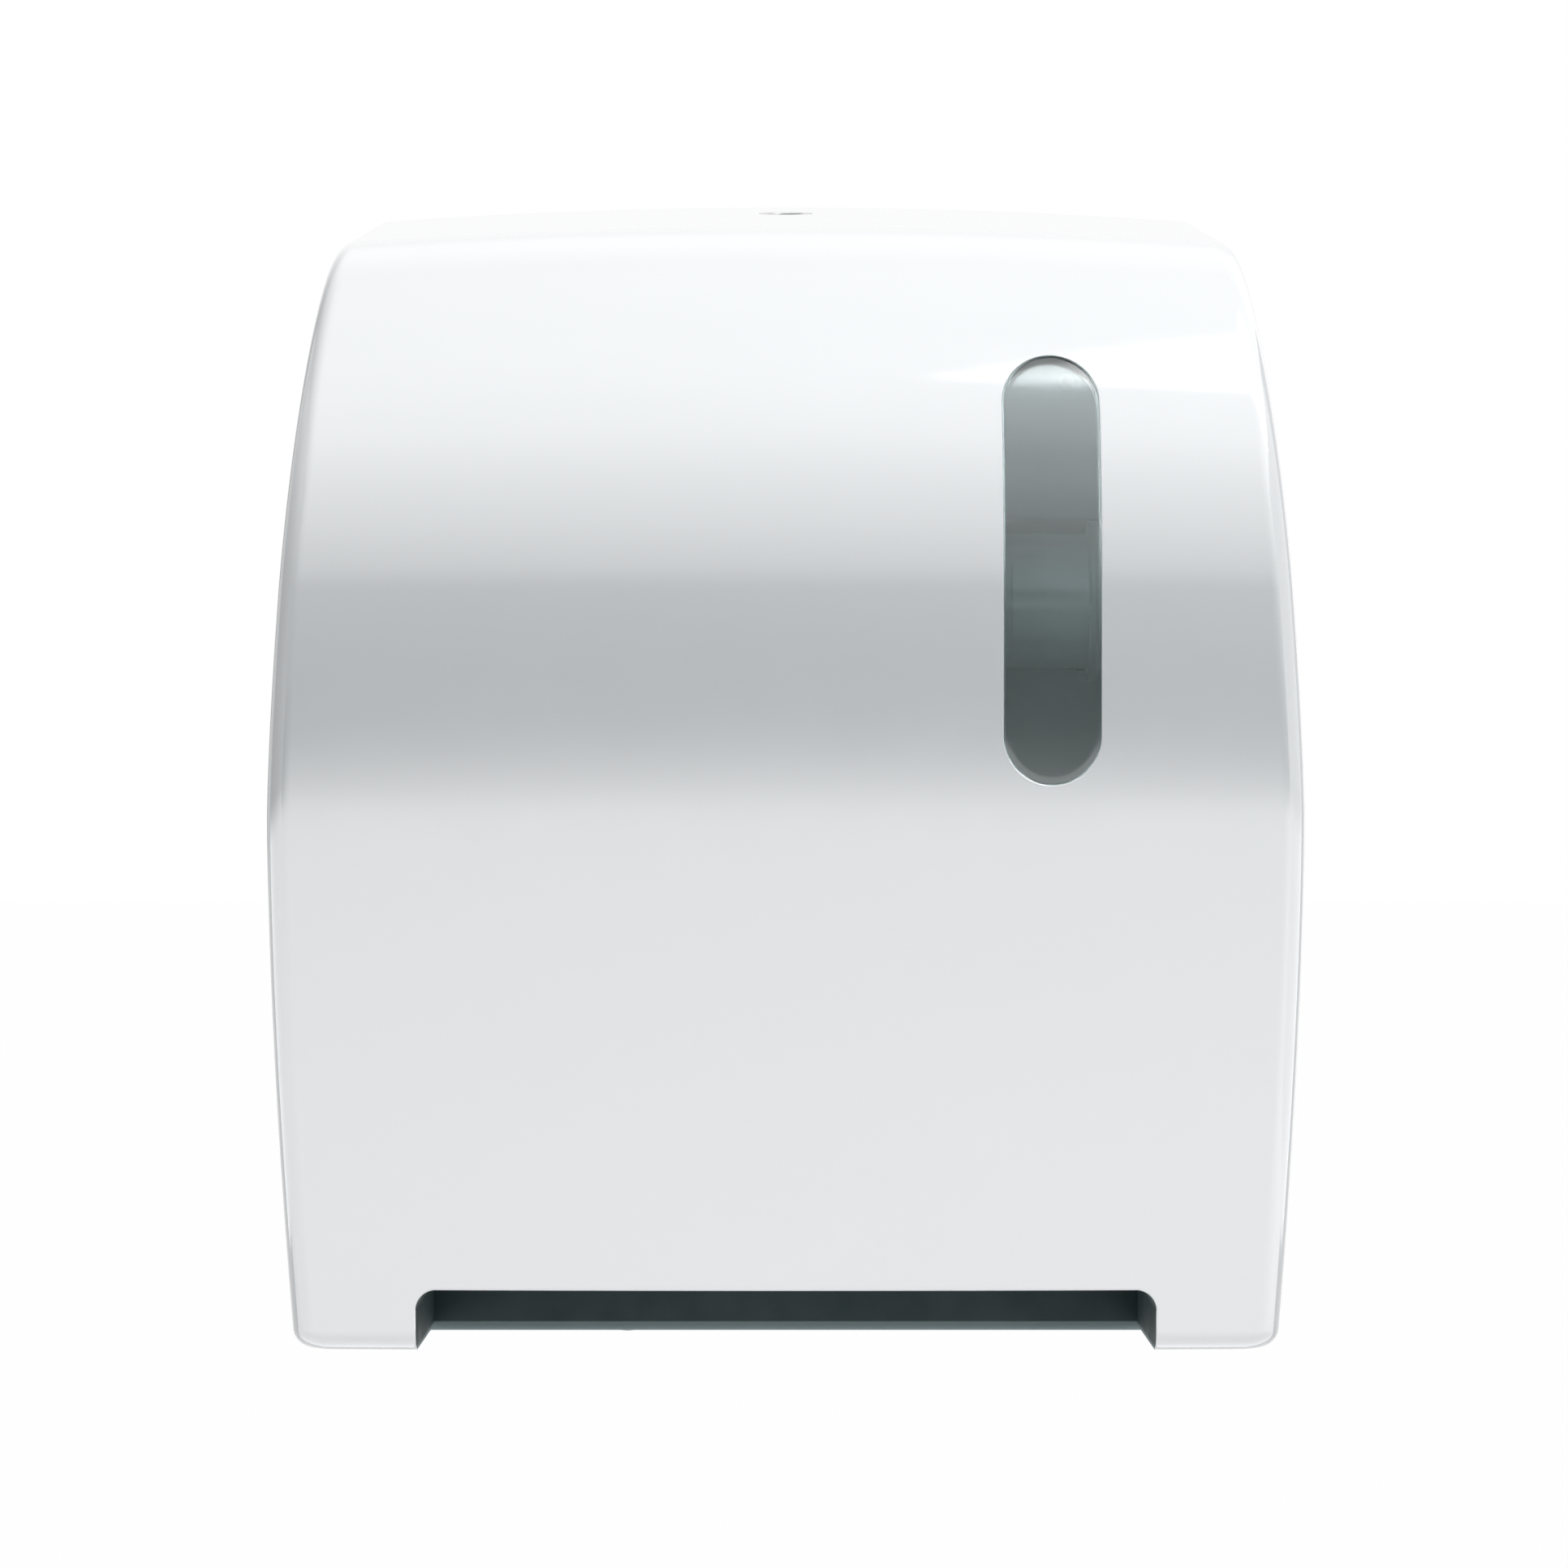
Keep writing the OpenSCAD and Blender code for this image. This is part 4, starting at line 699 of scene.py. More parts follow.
def guard_trough():
    """The dark trough behind the slot, rounded along its lower front edge, with the hole for the lens."""
    (x0, y0, z0), (x1, y1, z1) = (np.array(p) * 1000 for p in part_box("exit_guard"))
    back, front, low, high = -y1, -y0, z0 + SCREW_HEIGHT, z1 + SCREW_HEIGHT
    wall, hole = GUARD_WALL, EYE["hole"]
    outer = [(back, high, 0.4), (back, low, 1.2), (front, low, 2.2), (front, high, 0.4)]
    inner = [
        (front - wall, high, 0.4), (front - wall, low + wall, 0.6), (back + wall, low + wall, 0.6),
        (back + wall, high, 0.4),
    ]
    d, z = np.array(eased(outer + inner, 8)).T
    in_d, in_z = np.sign((back + front) / 2 - d), np.sign((low + high) / 2 - z)
    ends = [(x0, GUARD_EASE), (x0 + GUARD_EASE, 0), (x1 - GUARD_EASE, 0), (x1, GUARD_EASE)]
    rings = [place(x, d + draw * in_d * 0.3, z + draw * in_z * 0.3) for x, draw in ends]
    guard = loft("exit_guard.trough", rings)
    carve(guard, loft("lens_hole", spun([(low - 1, hole), (low + wall + 1, hole)], LENS, "z")))
    shade(guard)
    return guard


def sensor_eye():
    """The round dark lens of the hand sensor, domed below."""
    (_, _, z0), (_, _, z1) = (np.array(p) * 1000 + [0, 0, SCREW_HEIGHT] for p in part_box("sensor_lens"))
    tip, radius, bulge = EYE["tip"], EYE["radius"], EYE["bulge"]
    profile = []
    for a in np.linspace(0, math.pi / 2, 10):
        profile.append((z0 + bulge * (1 - math.cos(a)), tip + (radius - tip) * math.sin(a)))
    profile += [(z1 - 0.3, radius), (z1, radius - 0.3)]
    eye = loft("sensor_lens.eye", spun(profile, LENS, "z", 48))
    shade(eye)
    return eye


def coil_wire(radius, wire, turns, length, spot):
    """A round wire wound into a coil spring. The spot turns its own width, rise and depth into a point."""
    n, sides = turns * 28, 12
    t = np.linspace(0, turns, n + 1)
    pitch = (length - wire) / turns
    lean = math.atan2(pitch, 2 * math.pi * radius)
    b = around(sides)
    rings = []
    for turn in t:
        a = 2 * math.pi * turn
        thin = min(1.0, 0.55 + 4 * min(turn, turns - turn))
        out, up = wire / 2 * thin * np.cos(b), wire / 2 * thin * np.sin(b)
        across = (radius + out) * math.cos(a) + up * math.sin(lean) * math.sin(a)
        over = (radius + out) * math.sin(a) - up * math.sin(lean) * math.cos(a)
        rings.append(spot(across, over, wire / 2 + pitch * turn + up * math.cos(lean)))
    return loft("coil", rings)


def node_box(node):
    """Lowest and highest width, depth and height of a solid in millimetres."""
    (x0, y0, z0), (x1, y1, z1) = (np.array(p) * 1000 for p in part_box(node))
    return x0, x1, -y1, -y0, z0 + SCREW_HEIGHT, z1 + SCREW_HEIGHT


def pinch_coils():
    """The two springs that press the pinch rollers against the drive roller."""
    _, _, d0, d1, z0, z1 = node_box("pinch_springs")
    middle = (z0 + z1) / 2
    coils = []
    for x in PINCH_SPRINGS:
        coils.append(coil_wire(*PINCH_COIL, d1 - d0, lambda a, b, c: place(x + a, d0 + c, middle + b)))
    return merge("pinch_springs.coils", coils)


def arm_coil(node, side):
    """The spring round the pin of one roll arm."""
    x0, x1, _, _, z0, z1 = node_box(node)
    middle = (x0 + x1) / 2
    coil = coil_wire(*ARM_COIL, z1 - z0, lambda a, b, c: place(middle + side * a, ARM_PIN - b, z0 + c))
    return merge(node + ".coil", [coil])


def roll_hub(node, side):
    """One hub: a flange against the arm and a fluted plug that enters the core of the roll."""
    x0, x1 = node_box(node)[:2]
    start, tip, step = (x1, x0, -1) if side > 0 else (x0, x1, 1)
    end = start + HUB_FLANGE * step
    bore, flange, plug = HUB_RADII["bore"], HUB_RADII["flange"], HUB_RADII["plug"]
    outline = [
        (start, bore, 0.3), (start, flange, 0.8), (end, flange, 0.8), (end, plug, 0.9),
        (tip - 4 * step, plug, 1.5), (tip, 18.5, 1.2), (tip, 14.5, 0.5), (tip - 5 * step, 13.5, 0.6),
        (tip - 5 * step, 8, 0.6), (tip, 7.5, 0.5), (tip, bore, 0.3),
    ]
    turn = around(HUB_SIDES)
    flute = FLUTE_DEPTH * np.clip(np.cos(FLUTES * turn) - 0.55, 0, None) / 0.45
    rings = []
    for along, radius in eased(outline):
        on_plug = min(1.0, max(0.0, ((along - end) * step - 2) / 2)) if 16 < radius < 23 else 0
        r = radius - on_plug * flute
        rings.append(place(along, ROLL[0] + r * np.cos(turn), ROLL[1] + r * np.sin(turn)))
    return merge(node + ".hub", [loft("hub", rings, hollow=True)])


def grip_rings():
    """The rubber sleeves of the drive roller, with fine ridges round them."""
    half, rings = GRIP_WIDTH / 2, []
    bore, tread, groove = GRIP_RADII["bore"], GRIP_RADII["tread"], GRIP_RADII["groove"]
    for x in NIPS:
        outline = [(x - half, bore, 0.1), (x - half, tread, 0.5)]
        for k in range(1, GRIP_RIDGES):
            at = x - half + GRIP_WIDTH * k / GRIP_RIDGES
            outline += [(at - 0.35, tread, 0.15), (at, groove, 0.2), (at + 0.35, tread, 0.15)]
        outline += [(x + half, tread, 0.5), (x + half, bore, 0.1)]
        rings.append(loft("grip", spun(eased(outline, 2), DRIVE), hollow=True))
    return merge("drive_grips.sleeves", rings)


def pinch_rings():
    """The rubber pinch rollers with a groove near each end."""
    half, rings = PINCH_WIDTH / 2, []
    bore, tread, groove = PINCH_RADII["bore"], PINCH_RADII["tread"], PINCH_RADII["groove"]
    for x in NIPS:
        outline = [(x - half, bore, 0.2), (x - half, tread, 1.0)]
        for at in (x - half + 4, x + half - 4):
            for way, radius in ((-0.6, tread), (-0.3, groove), (0.3, groove), (0.6, tread)):
                outline.append((at + way, radius, 0.2))
        outline += [(x + half, tread, 1.0), (x + half, bore, 0.2)]
        rings.append(loft("pinch", spun(eased(outline, 3), PINCH), hollow=True))
    return merge("pinch_rollers.tyres", rings)


def roller_core():
    """The white core of the drive roller, with a step at each end."""
    x0, x1 = node_box("drive_roller")[:2]
    bore, step, core = ROLLER_RADII["bore"], ROLLER_RADII["step"], ROLLER_RADII["core"]
    outline = [
        (x0, bore, 0.2), (x0, step, 0.4), (x0 + 2, step, 0.3), (x0 + 2, core, 0.6),
        (x1 - 2, core, 0.6), (x1 - 2, step, 0.3), (x1, step, 0.4), (x1, bore, 0.2),
    ]
    return merge("drive_roller.core", [ring_piece(outline, DRIVE)])


def cell_stack():
    """Four battery cells: a sleeve rolled over the ends of a can with a nub on top."""
    x0, x1, d0, d1, z0, z1 = node_box("battery_cells")
    r = CELL / 2
    middle, cells, tall = (x0 + x1) / 2, [], (z1 - z0 - CELL_GAP) / 2
    for d in (d0 + r, d1 - r):
        for low in (z0, z0 + tall + CELL_GAP):
            top = low + tall
            outline = [
                (low + 0.4, 0.3, 0), (low + 0.4, r - 3, 0), (low, r - 2.4, 0.2), (low, r, 0.8),
                (top - 1.5, r, 0.8), (top - 1.5, r - 2.4, 0.2), (top - 1.9, r - 3, 0.2),
                (top - 1.9, 4.5, 0.4), (top, 4.5, 0.8), (top, 0.3, 0),
            ]
            # The first and the last corner only guide the outline to the axis
            profile = eased(outline, 4)[5:-5]
            cells.append(loft("cell", spun(profile, (middle, d), "z", 72)))
    return merge("battery_cells.cells", cells)


def motor_body():
    """The can of the motor with rolled ends."""
    x0, x1, d0, d1, z0, z1 = node_box("motor_can")
    r, at = (d1 - d0) / 2, ((d0 + d1) / 2, (z0 + z1) / 2)
    outline = [
        (x1, 1.55, 0.1), (x1 - 12, 1.55, 0.1), (x1 - 12, 0.4, 0.1), (x0 + 2, 0.4, 0.1), (x0 + 2, 5, 0.2),
        (x0, 5, 0.5), (x0, 6, 0.3), (x0 + 2, 6.2, 0.3), (x0 + 2, r - 2, 0.4), (x0 + 3, r, 1.6),
        (x0 + 9, r, 0.2), (x0 + 9.5, r - 0.5, 0.2), (x0 + 10.5, r - 0.5, 0.2), (x0 + 11, r, 0.2),
        (x1, r, 1.2),
    ]
    return merge("motor_can.body", [ring_piece(outline, at)])


def lock_body(shape):
    """The plated lock housing, flush with the top of the cover, with its thread and the nut below."""
    bore, root, thread = LOCK_RADII["bore"], LOCK_RADII["root"], LOCK_RADII["thread"]
    outline = [(-LOCK_DEEP, bore, 0.2), (-LOCK_DEEP, root, 0.3)]
    for k in range(6):
        at = -11.4 + k * THREAD_PITCH
        outline += [(at, thread, 0.1), (at + 0.45, root, 0.1)]
    outline += [(-3, thread, 0.1), (0, thread, 0.5), (0, bore, 0.4)]
    body = loft("lock", lock_rings(shape, eased(outline, 3)), hollow=True)
    top, wide = -shape.wall - 0.3, LOCK_RADII["nut"]
    profile = [(top - 3, wide - 0.6), (top - 2.6, wide), (top - 0.4, wide), (top, wide - 0.6)]
    nut = loft("nut", lock_rings(shape, profile, 6))
    hole = [(end, LOCK_RADII["nut_bore"]) for end in (top - 4, top + 1)]
    carve(nut, loft("thread", lock_rings(shape, hole)))
    whole = merge("lock_housing.body", [body, nut])
    shade(whole, 30)
    return whole


def key_barrel(shape):
    """The barrel of the lock with its key slot, a little below the housing's rim."""
    radius = LOCK_RADII["barrel"]
    profile = [(-13, radius - 0.4), (-12.6, radius), (-0.9, radius), (-0.5, radius - 0.4)]
    barrel = loft("lock_barrel.barrel", lock_rings(shape, profile))
    half, reach = KEY_SLOT
    x, ahead = np.array([-half, -half, half, half]), np.array([-reach, reach, reach, -reach])
    carve(barrel, loft("key_slot", [on_lock(shape, x, ahead, along) for along in (-5.0, 1.0)]))
    shade(barrel, 30)
    return barrel


def dressed(node):
    """A copy of a solid with its edges softened."""
    shape = bmesh.new()
    shape.from_mesh(frame["nodes"][node].data)
    bmesh.ops.remove_doubles(shape, verts=shape.verts, dist=0.001 * MM)
    flat = math.radians(1)
    bmesh.ops.dissolve_limit(shape, angle_limit=flat, verts=shape.verts, edges=shape.edges)
    mesh = bpy.data.meshes.new(node)
    shape.to_mesh(mesh)
    shape.free()
    mesh.materials.clear()
    mesh.shade_smooth()
    piece = bpy.data.objects.new(node + ".piece", mesh)
    bpy.context.collection.objects.link(piece)
    soften = piece.modifiers.new("soften", "BEVEL")
    soften.width = EDGES.get(node, EDGE) * MM
    soften.segments = 2
    soften.limit_method = "ANGLE"
    soften.angle_limit = math.radians(32)
    piece.modifiers.new("even", "WEIGHTED_NORMAL")
    settle(piece)
    return piece


# Finishes


def add_node(tree, kind, links=(), **values):
    """A shader node with some inputs linked and others set."""
    node = tree.nodes.new("ShaderNode" + kind)
    for key, value in values.items():
        setattr(node, key, value)
    for socket, value in links:
        if isinstance(value, bpy.types.NodeSocket):
            tree.links.new(value, node.inputs[socket])
        else:
            node.inputs[socket].default_value = value
    return node


class Finish:
    """A material whose tone, gloss and relief come from noise in the piece's own space."""

    def __init__(self, name, sockets):
        self.material = bpy.data.materials.new(name)
        self.material.use_nodes = True
        self.tree = self.material.node_tree
        self.shader = self.tree.nodes["Principled BSDF"]
        for socket, value in sockets.items():
            self.shader.inputs[socket].default_value = value

    def add(self, kind, links=(), **values):
        """A node of this material."""
        return add_node(self.tree, kind, links, **values)

    def height(self):
        """The height of a place above the wall screws."""
        return self.add("SeparateXYZ", [(0, self.add("TexCoord").outputs["Object"])]).outputs[2]

    def surface(self, shader):
        """Takes another shader as the surface."""
        self.tree.links.new(shader, self.tree.nodes["Material Output"].inputs[0])

    def noise(self, scale, detail=2.0, stretch=None):
        """Noise with so many waves a metre, drawn out along an axis where a stretch is given."""
        spot = self.add("TexCoord").outputs["Object"]
        if stretch:
            spot = self.add("Mapping", [("Vector", spot), ("Scale", stretch)]).outputs[0]
        return self.add("TexNoise", [("Vector", spot), ("Scale", scale), ("Detail", detail)]).outputs[0]

    def blend(self, share, first, second):
        """One colour to another by a share."""
        ends = [c if isinstance(c, bpy.types.NodeSocket) else (*c, 1) for c in (first, second)]
        return self.add("Mix", [(0, share), (6, ends[0]), (7, ends[1])], data_type="RGBA").outputs[2]

    def tone(self, base, spread, share):
        """The base colour, a little darker and lighter with a share."""
        dark = tuple(c * (1 - spread) for c in base)
        light = tuple(min(1, c * (1 + spread)) for c in base)
        self.colour(self.blend(share, dark, light))

    def colour(self, socket):
        self.tree.links.new(socket, self.shader.inputs["Base Color"])

    def span(self, share, low, high):
        """A share drawn out between two values."""
        links = [("Value", share), ("From Min", 0.3), ("From Max", 0.7), ("To Min", low), ("To Max", high)]
        return self.add("MapRange", links).outputs[0]

    def gloss(self, low, high, share):
        self.tree.links.new(self.span(share, low, high), self.shader.inputs["Roughness"])

    def relief(self, depth, share):
        """A bump as deep as given in millimetres."""
        bump = self.add("Bump", [("Strength", 1.0), ("Distance", depth * MM), ("Height", share)])
        self.tree.links.new(bump.outputs[0], self.shader.inputs["Normal"])


def moulded(name, base, low, high, grain, depth, spread=0.03, **sockets):
    """Moulded plastic with a cloud of tone and a fine grain in millimetres."""
    made = Finish(name, sockets)
    cloud = made.noise(22)
    made.tone(base, spread, cloud)
    made.gloss(low, high, made.noise(70, 3.0))
    made.relief(depth, made.noise(1000 / grain, 2.0))
    return made.material


def drawn_metal(name, base, low, high, stretch, **sockets):
    """Metal with fine lines along one axis."""
    made = Finish(name, {"Metallic": 1.0, **sockets})
    lines = made.noise(900, 3.0, stretch)
    made.tone(base, 0.08, lines)
    made.gloss(low, high, lines)
    made.relief(0.01, lines)
    return made.material


def cover_gloss(name, base):
    """Polished white plastic: a clear gloss over a white that barely clouds, with a very faint waviness."""
    made = Finish(name, {"IOR": 1.7, "Coat Weight": 1.0, "Coat Roughness": 0.05, "Coat IOR": 1.6})
    made.tone(base, 0.006, made.noise(14))
    made.gloss(0.06, 0.1, made.noise(45, 3.0))
    made.relief(0.002, made.noise(55, 1.0))
    return made.material


def smoke_pane(name, base):
    """Clear smoke-grey plastic with faint streaks of flow."""
    clear = {"IOR": 1.5, "Transmission Weight": 0.96, "Coat Weight": 0.25, "Coat Roughness": 0.03}
    made = Finish(name, clear)
    made.tone(base, 0.04, made.noise(30, 2.0, (1.0, 1.0, 0.3)))
    made.gloss(0.02, 0.05, made.noise(60, 3.0))
    made.relief(0.002, made.noise(60, 1.0))
    return made.material


def guard_plastic(name, base):
    """Dark moulded plastic with a painted highlight, a lighter grey, along the lip at the foot."""
    made = Finish(name, {"Specular IOR Level": 0.2})
    height = made.height()
    low, high = (MM * (edge - SCREW_HEIGHT) for edge in LIP_HIGHLIGHT_EDGE)
    limits = [("From Min", low), ("From Max", high)]
    away_from_painted_light = made.add("MapRange", [("Value", height), *limits]).outputs[0]
    cloud = made.blend(made.noise(60, 3.0), tuple(0.9 * c for c in base), tuple(1.1 * c for c in base))
    # The lighter grey along the lip is a painted highlight
    made.colour(made.blend(away_from_painted_light, (0.2, 0.26, 0.27), cloud))
    made.gloss(0.45, 0.6, made.noise(90, 3.0))
    made.relief(0.006, made.noise(1700))
    return made.material


def shadow_lined_panel(name, base):
    """Grained grey plastic with one painted shadow, a dark line across it, above the hubs."""
    made = Finish(name, {})
    middle, half, edge = PANEL_SHADOW_LINE
    height = made.height()
    off = made.add("Math", [(0, height), (1, middle)], operation="SUBTRACT").outputs[0]
    away = made.add("Math", [(0, off)], operation="ABSOLUTE").outputs[0]
    limits = [("From Min", half - edge), ("From Max", half + edge)]
    away_from_painted_light = made.add("MapRange", [("Value", away), *limits]).outputs[0]
    cloud = made.blend(made.noise(22), tuple(0.97 * c for c in base), tuple(1.03 * c for c in base))
    # The dark line is painted shade at 0.12 of the panel's grey
    made.colour(made.blend(away_from_painted_light, tuple(0.12 * c for c in base), cloud))
    made.gloss(0.42, 0.55, made.noise(70, 3.0))
    made.relief(0.03, made.noise(2000, 2.0))
    return made.material


def rubber_skin(name, base):
    """Matt black rubber with a dusty speckle."""
    made = Finish(name, {"Sheen Weight": 0.25, "Sheen Roughness": 0.5})
    made.tone(base, 0.25, made.noise(600, 4.0))
    made.gloss(0.62, 0.85, made.noise(300, 3.0))
    made.relief(0.03, made.noise(1800, 2.0))
    return made.material


def board_mask(name, base):
    """Green solder mask over thin copper lines."""
    made = Finish(name, {"Coat Weight": 0.4, "Coat Roughness": 0.15})
    spot = made.add("TexCoord").outputs["Object"]
    links = [("Vector", spot), ("Scale", 260.0)]
    cells = made.add("TexVoronoi", links, feature="DISTANCE_TO_EDGE", distance="MANHATTAN").outputs[0]
    line = made.add("MapRange", [("Value", cells), ("From Min", 0.06), ("From Max", 0.1)]).outputs[0]
    light = tuple(min(1, 2.4 * c + 0.01) for c in base)
    made.colour(made.blend(line, light, base))
    made.gloss(0.3, 0.45, made.noise(200))
    made.relief(0.03, line)
    return made.material


def cell_sleeve(name, base):
    """A printed sleeve: a black lower part, a copper-coloured top and scuffs."""
    low, high = (MM * (end - SCREW_HEIGHT) for end in node_box("battery_cells")[4:])
    made = Finish(name, {"Metallic": 0.35, "Coat Weight": 0.5, "Coat Roughness": 0.2})
    height = made.height()
    links = [("Value", height), ("From Min", low), ("From Max", high), ("To Max", 2.0)]
    share = made.add("MapRange", links).outputs[0]
    part = made.add("Math", [(0, share)], operation="FRACT").outputs[0]
    top = made.add("Math", [(0, part), (1, 0.68)], operation="GREATER_THAN").outputs[0]
    worn = made.blend(made.noise(120, 4.0), tuple(0.8 * c for c in base), base)
    made.colour(made.blend(top, (0.02, 0.02, 0.021), worn))
    made.gloss(0.25, 0.4, made.noise(150, 3.0))
    made.relief(0.01, made.noise(400))
    return made.material


def mix_finishes(colours):
    """Every finish by the name of its slot."""
    c = {name: tuple(getattr(colours, name)) for name in FinishColours.__annotations__}
    along_x, along_z = (0.05, 1.0, 1.0), (1.0, 1.0, 0.05)
    clear, coated = {"Transmission Weight": 0.5}, {"Coat Weight": 1.0}
    return {
        "cover_white": cover_gloss("Polished white cover", c["cover"]),
        "window_smoke": smoke_pane("Smoke pane", c["window"]),
        "panel_grey": shadow_lined_panel("Grained panel grey", c["panel"]),
        "works_grey": moulded("Grained works grey", c["works"], 0.4, 0.55, 0.45, 0.03, 0.08),
        "guard_dark": guard_plastic("Guard dark", c["guard"]),
        "hub_dark": moulded("Hub grey", c["hub"], 0.35, 0.48, 0.5, 0.015, 0.05),
        "steel": drawn_metal("Drawn steel", c["steel"], 0.22, 0.38, along_x),
        "lock_metal": drawn_metal("Plated lock", c["plated"], 0.12, 0.22, along_z),
        "brass": drawn_metal("Turned brass", c["brass"], 0.2, 0.34, along_x),
        "rubber": rubber_skin("Rubber", c["rubber"]),
        "gear_white": moulded("Gear ivory", c["gear"], 0.32, 0.45, 0.7, 0.01),
        "roller_white": moulded("Roller white", c["roller"], 0.35, 0.5, 0.6, 0.02),
        "board_green": board_mask("Board green", c["board"]),
        "cell_wrap": cell_sleeve("Cell sleeve", c["cell"]),
        "button_blue": moulded("Button blue", c["button"], 0.3, 0.4, 0.5, 0.012, 0.05),
        "light_green": moulded("Light green", c["light"], 0.1, 0.18, 0.8, 0.004, 0.05, **clear),
        "switch_black": moulded("Switch black", c["switch"], 0.4, 0.55, 0.4, 0.02, 0.1),
        "lens_dark": moulded("Lens dark", c["lens"], 0.05, 0.1, 1.0, 0.003, 0.1, **coated),
        "spring_steel": drawn_metal("Spring steel", c["steel"], 0.2, 0.32, (0.4, 0.4, 0.4)),
    }


# Stage


def seen_rays(tree):
    """One for the rays that look straight at a thing, by gloss or through the pane."""
    rays = add_node(tree, "LightPath").outputs
    total = rays["Is Camera Ray"]
    for name in ("Is Glossy Ray", "Is Transmission Ray"):
        links = [(0, total), (1, rays[name])]
        total = add_node(tree, "Math", links, operation="ADD", use_clamp=True).outputs[0]
    return total


def white_world(level):
    """A world that looks white and lights the object at a plain level."""
    world = bpy.data.worlds.new("Studio")
    bpy.context.scene.world = world
    world.use_nodes = True
    tree = world.node_tree
    tree.nodes.clear()
    mix = add_node(tree, "MixShader", [(0, seen_rays(tree))])
    for socket, strength in ((1, level), (2, 1.0)):
        light = add_node(tree, "Background", [("Color", (1, 1, 1, 1)), ("Strength", strength)])
        tree.links.new(light.outputs[0], mix.inputs[socket])
    add_node(tree, "OutputWorld", [(0, mix.outputs[0])])


def pale_floor(stage):
    """A round pale floor that takes the object's shadow and is clear from below."""
    m, turn = FLOOR_SIDES, around(FLOOR_SIDES)
    circle = np.stack([np.cos(turn), np.sin(turn), np.zeros(m)], axis=-1)
    radii = (0.02, 0.5, 1.5, 4.0, 12.0, stage.floor_radius)
    rings = [r * circle - [0, 0, stage.floor_drop] for r in radii]
    floor = mesh_piece("floor", rings, [tuple(range(m)), *ring_faces(len(radii), m)])
    if floor.data.polygons[0].normal.z < 0:
        floor.data.flip_normals()
    made = Finish("Pale floor", {"Base Color": FLOOR_GREY, "Roughness": 0.9, "Specular IOR Level": 0.0})
    spot = made.add("TexCoord").outputs["Object"]
    away = made.add("VectorMath", [(0, spot)], operation="LENGTH").outputs["Value"]
    fade = made.add("MapRange", [("Value", away), *FLOOR_FADE.items()]).outputs[0]
    share = made.add("Math", [(0, seen_rays(made.tree)), (1, fade)], operation="MULTIPLY").outputs[0]
    shine = made.add("Emission").outputs[0]
    above = made.add("MixShader", [(0, share), (1, made.shader.outputs[0]), (2, shine)]).outputs[0]
    below = made.add("NewGeometry").outputs["Backfacing"]
    clear = made.add("BsdfTransparent").outputs[0]
    made.surface(made.add("MixShader", [(0, below), (1, above), (2, clear)]).outputs[0])
    floor.data.materials.append(made.material)


def glossy_card(name, points, light, through):
    """A card that only gloss and the pane show, each by its own level."""
    n, m = points.shape[:2]
    card = mesh_piece(name, points, grid_faces(n, m))
    made = Finish(name, {})
    mix = made.add("MixShader", [(0, made.add("LightPath").outputs["Is Transmission Ray"])])
    for socket, key, level in ((1, "glow", light), (2, "through", through)):
        values = np.broadcast_to(level, (n, m)).ravel().astype(np.float32)
        card.data.attributes.new(key, "FLOAT", "POINT").data.foreach_set("value", values)
        held = made.add("Attribute", attribute_name=key).outputs["Fac"]
        shine = made.add("Emission", [("Strength", held)]).outputs[0]
        made.tree.links.new(shine, mix.inputs[socket])
    made.surface(mix.outputs[0])
    card.data.materials.append(made.material)
    for ray in ("camera", "diffuse", "shadow", "volume_scatter"):
        setattr(card, "visible_" + ray, False)


def studio_cards():
    """A bent card round the object, bright low down and overhead and dark between, and one at each side."""
    bend = np.array(CARD_BEND)
    along = np.concatenate([[0], np.cumsum(np.linalg.norm(np.diff(bend[:, :2], axis=0), axis=1))])
    steps = np.unique(np.concatenate([np.linspace(0, along[-1], 200), along]))
    depth, height, level = (np.interp(steps, along, bend[:, k])[:, None] for k in range(3))
    x = np.linspace(-CARD_HALF, CARD_HALF, 109)
    back, start, edge, lift = CARD_PATCH
    left = np.interp(depth, back[1:3], start)
    overhead = height > CARD_CEILING
    patch = np.interp(depth, back, (0, 1, 1, 0)) * overhead * np.clip((x - left) / edge, 0, 1)
    share = np.where(height < CARD_LOW, 1.0, np.interp(x, *CARD_LEFT))
    light = level * share + np.interp(x, *CARD_RIGHT) + lift * patch
    strip = np.interp(x, PANE_STRIP, (0, 1, 1, 0))
    mirror = np.where(overhead, np.interp(depth, *PANE_MIRROR), np.interp(height, *PANE_FRONT))
    through = np.interp(height, *CARD_THROUGH) * (1 - strip) + mirror * strip
    points = np.stack(np.broadcast_arrays(x, -depth, height), axis=-1)
    glossy_card("studio_card", points, light, through * (depth > 0))
    for side, levels in CARD_SIDES.items():
        z, level = np.array(levels).T
        y = np.linspace(*CARD_REACH, 7)
        points = np.stack(np.broadcast_arrays(side * CARD_HALF, y, z[:, None]), axis=-1)
        through = np.interp(points[..., 2], *CARD_THROUGH) * (y < 0)
        glossy_card("left_card" if side < 0 else "right_card", points, level[:, None], through)


def soft_lamp(name, spot, aim, size, watts):
    """A soft box that shines from a spot towards an aim."""
    lamp = bpy.data.lights.new(name, "AREA")
    lamp.shape = "RECTANGLE"
    lamp.size, lamp.size_y = size
    lamp.energy = watts
    holder = bpy.data.objects.new(name, lamp)
    holder.location = spot
    holder.rotation_euler = (Vector(aim) - Vector(spot)).to_track_quat("-Z", "Y").to_euler()
    holder.visible_camera = holder.visible_glossy = holder.visible_transmission = False
    bpy.context.collection.objects.link(holder)


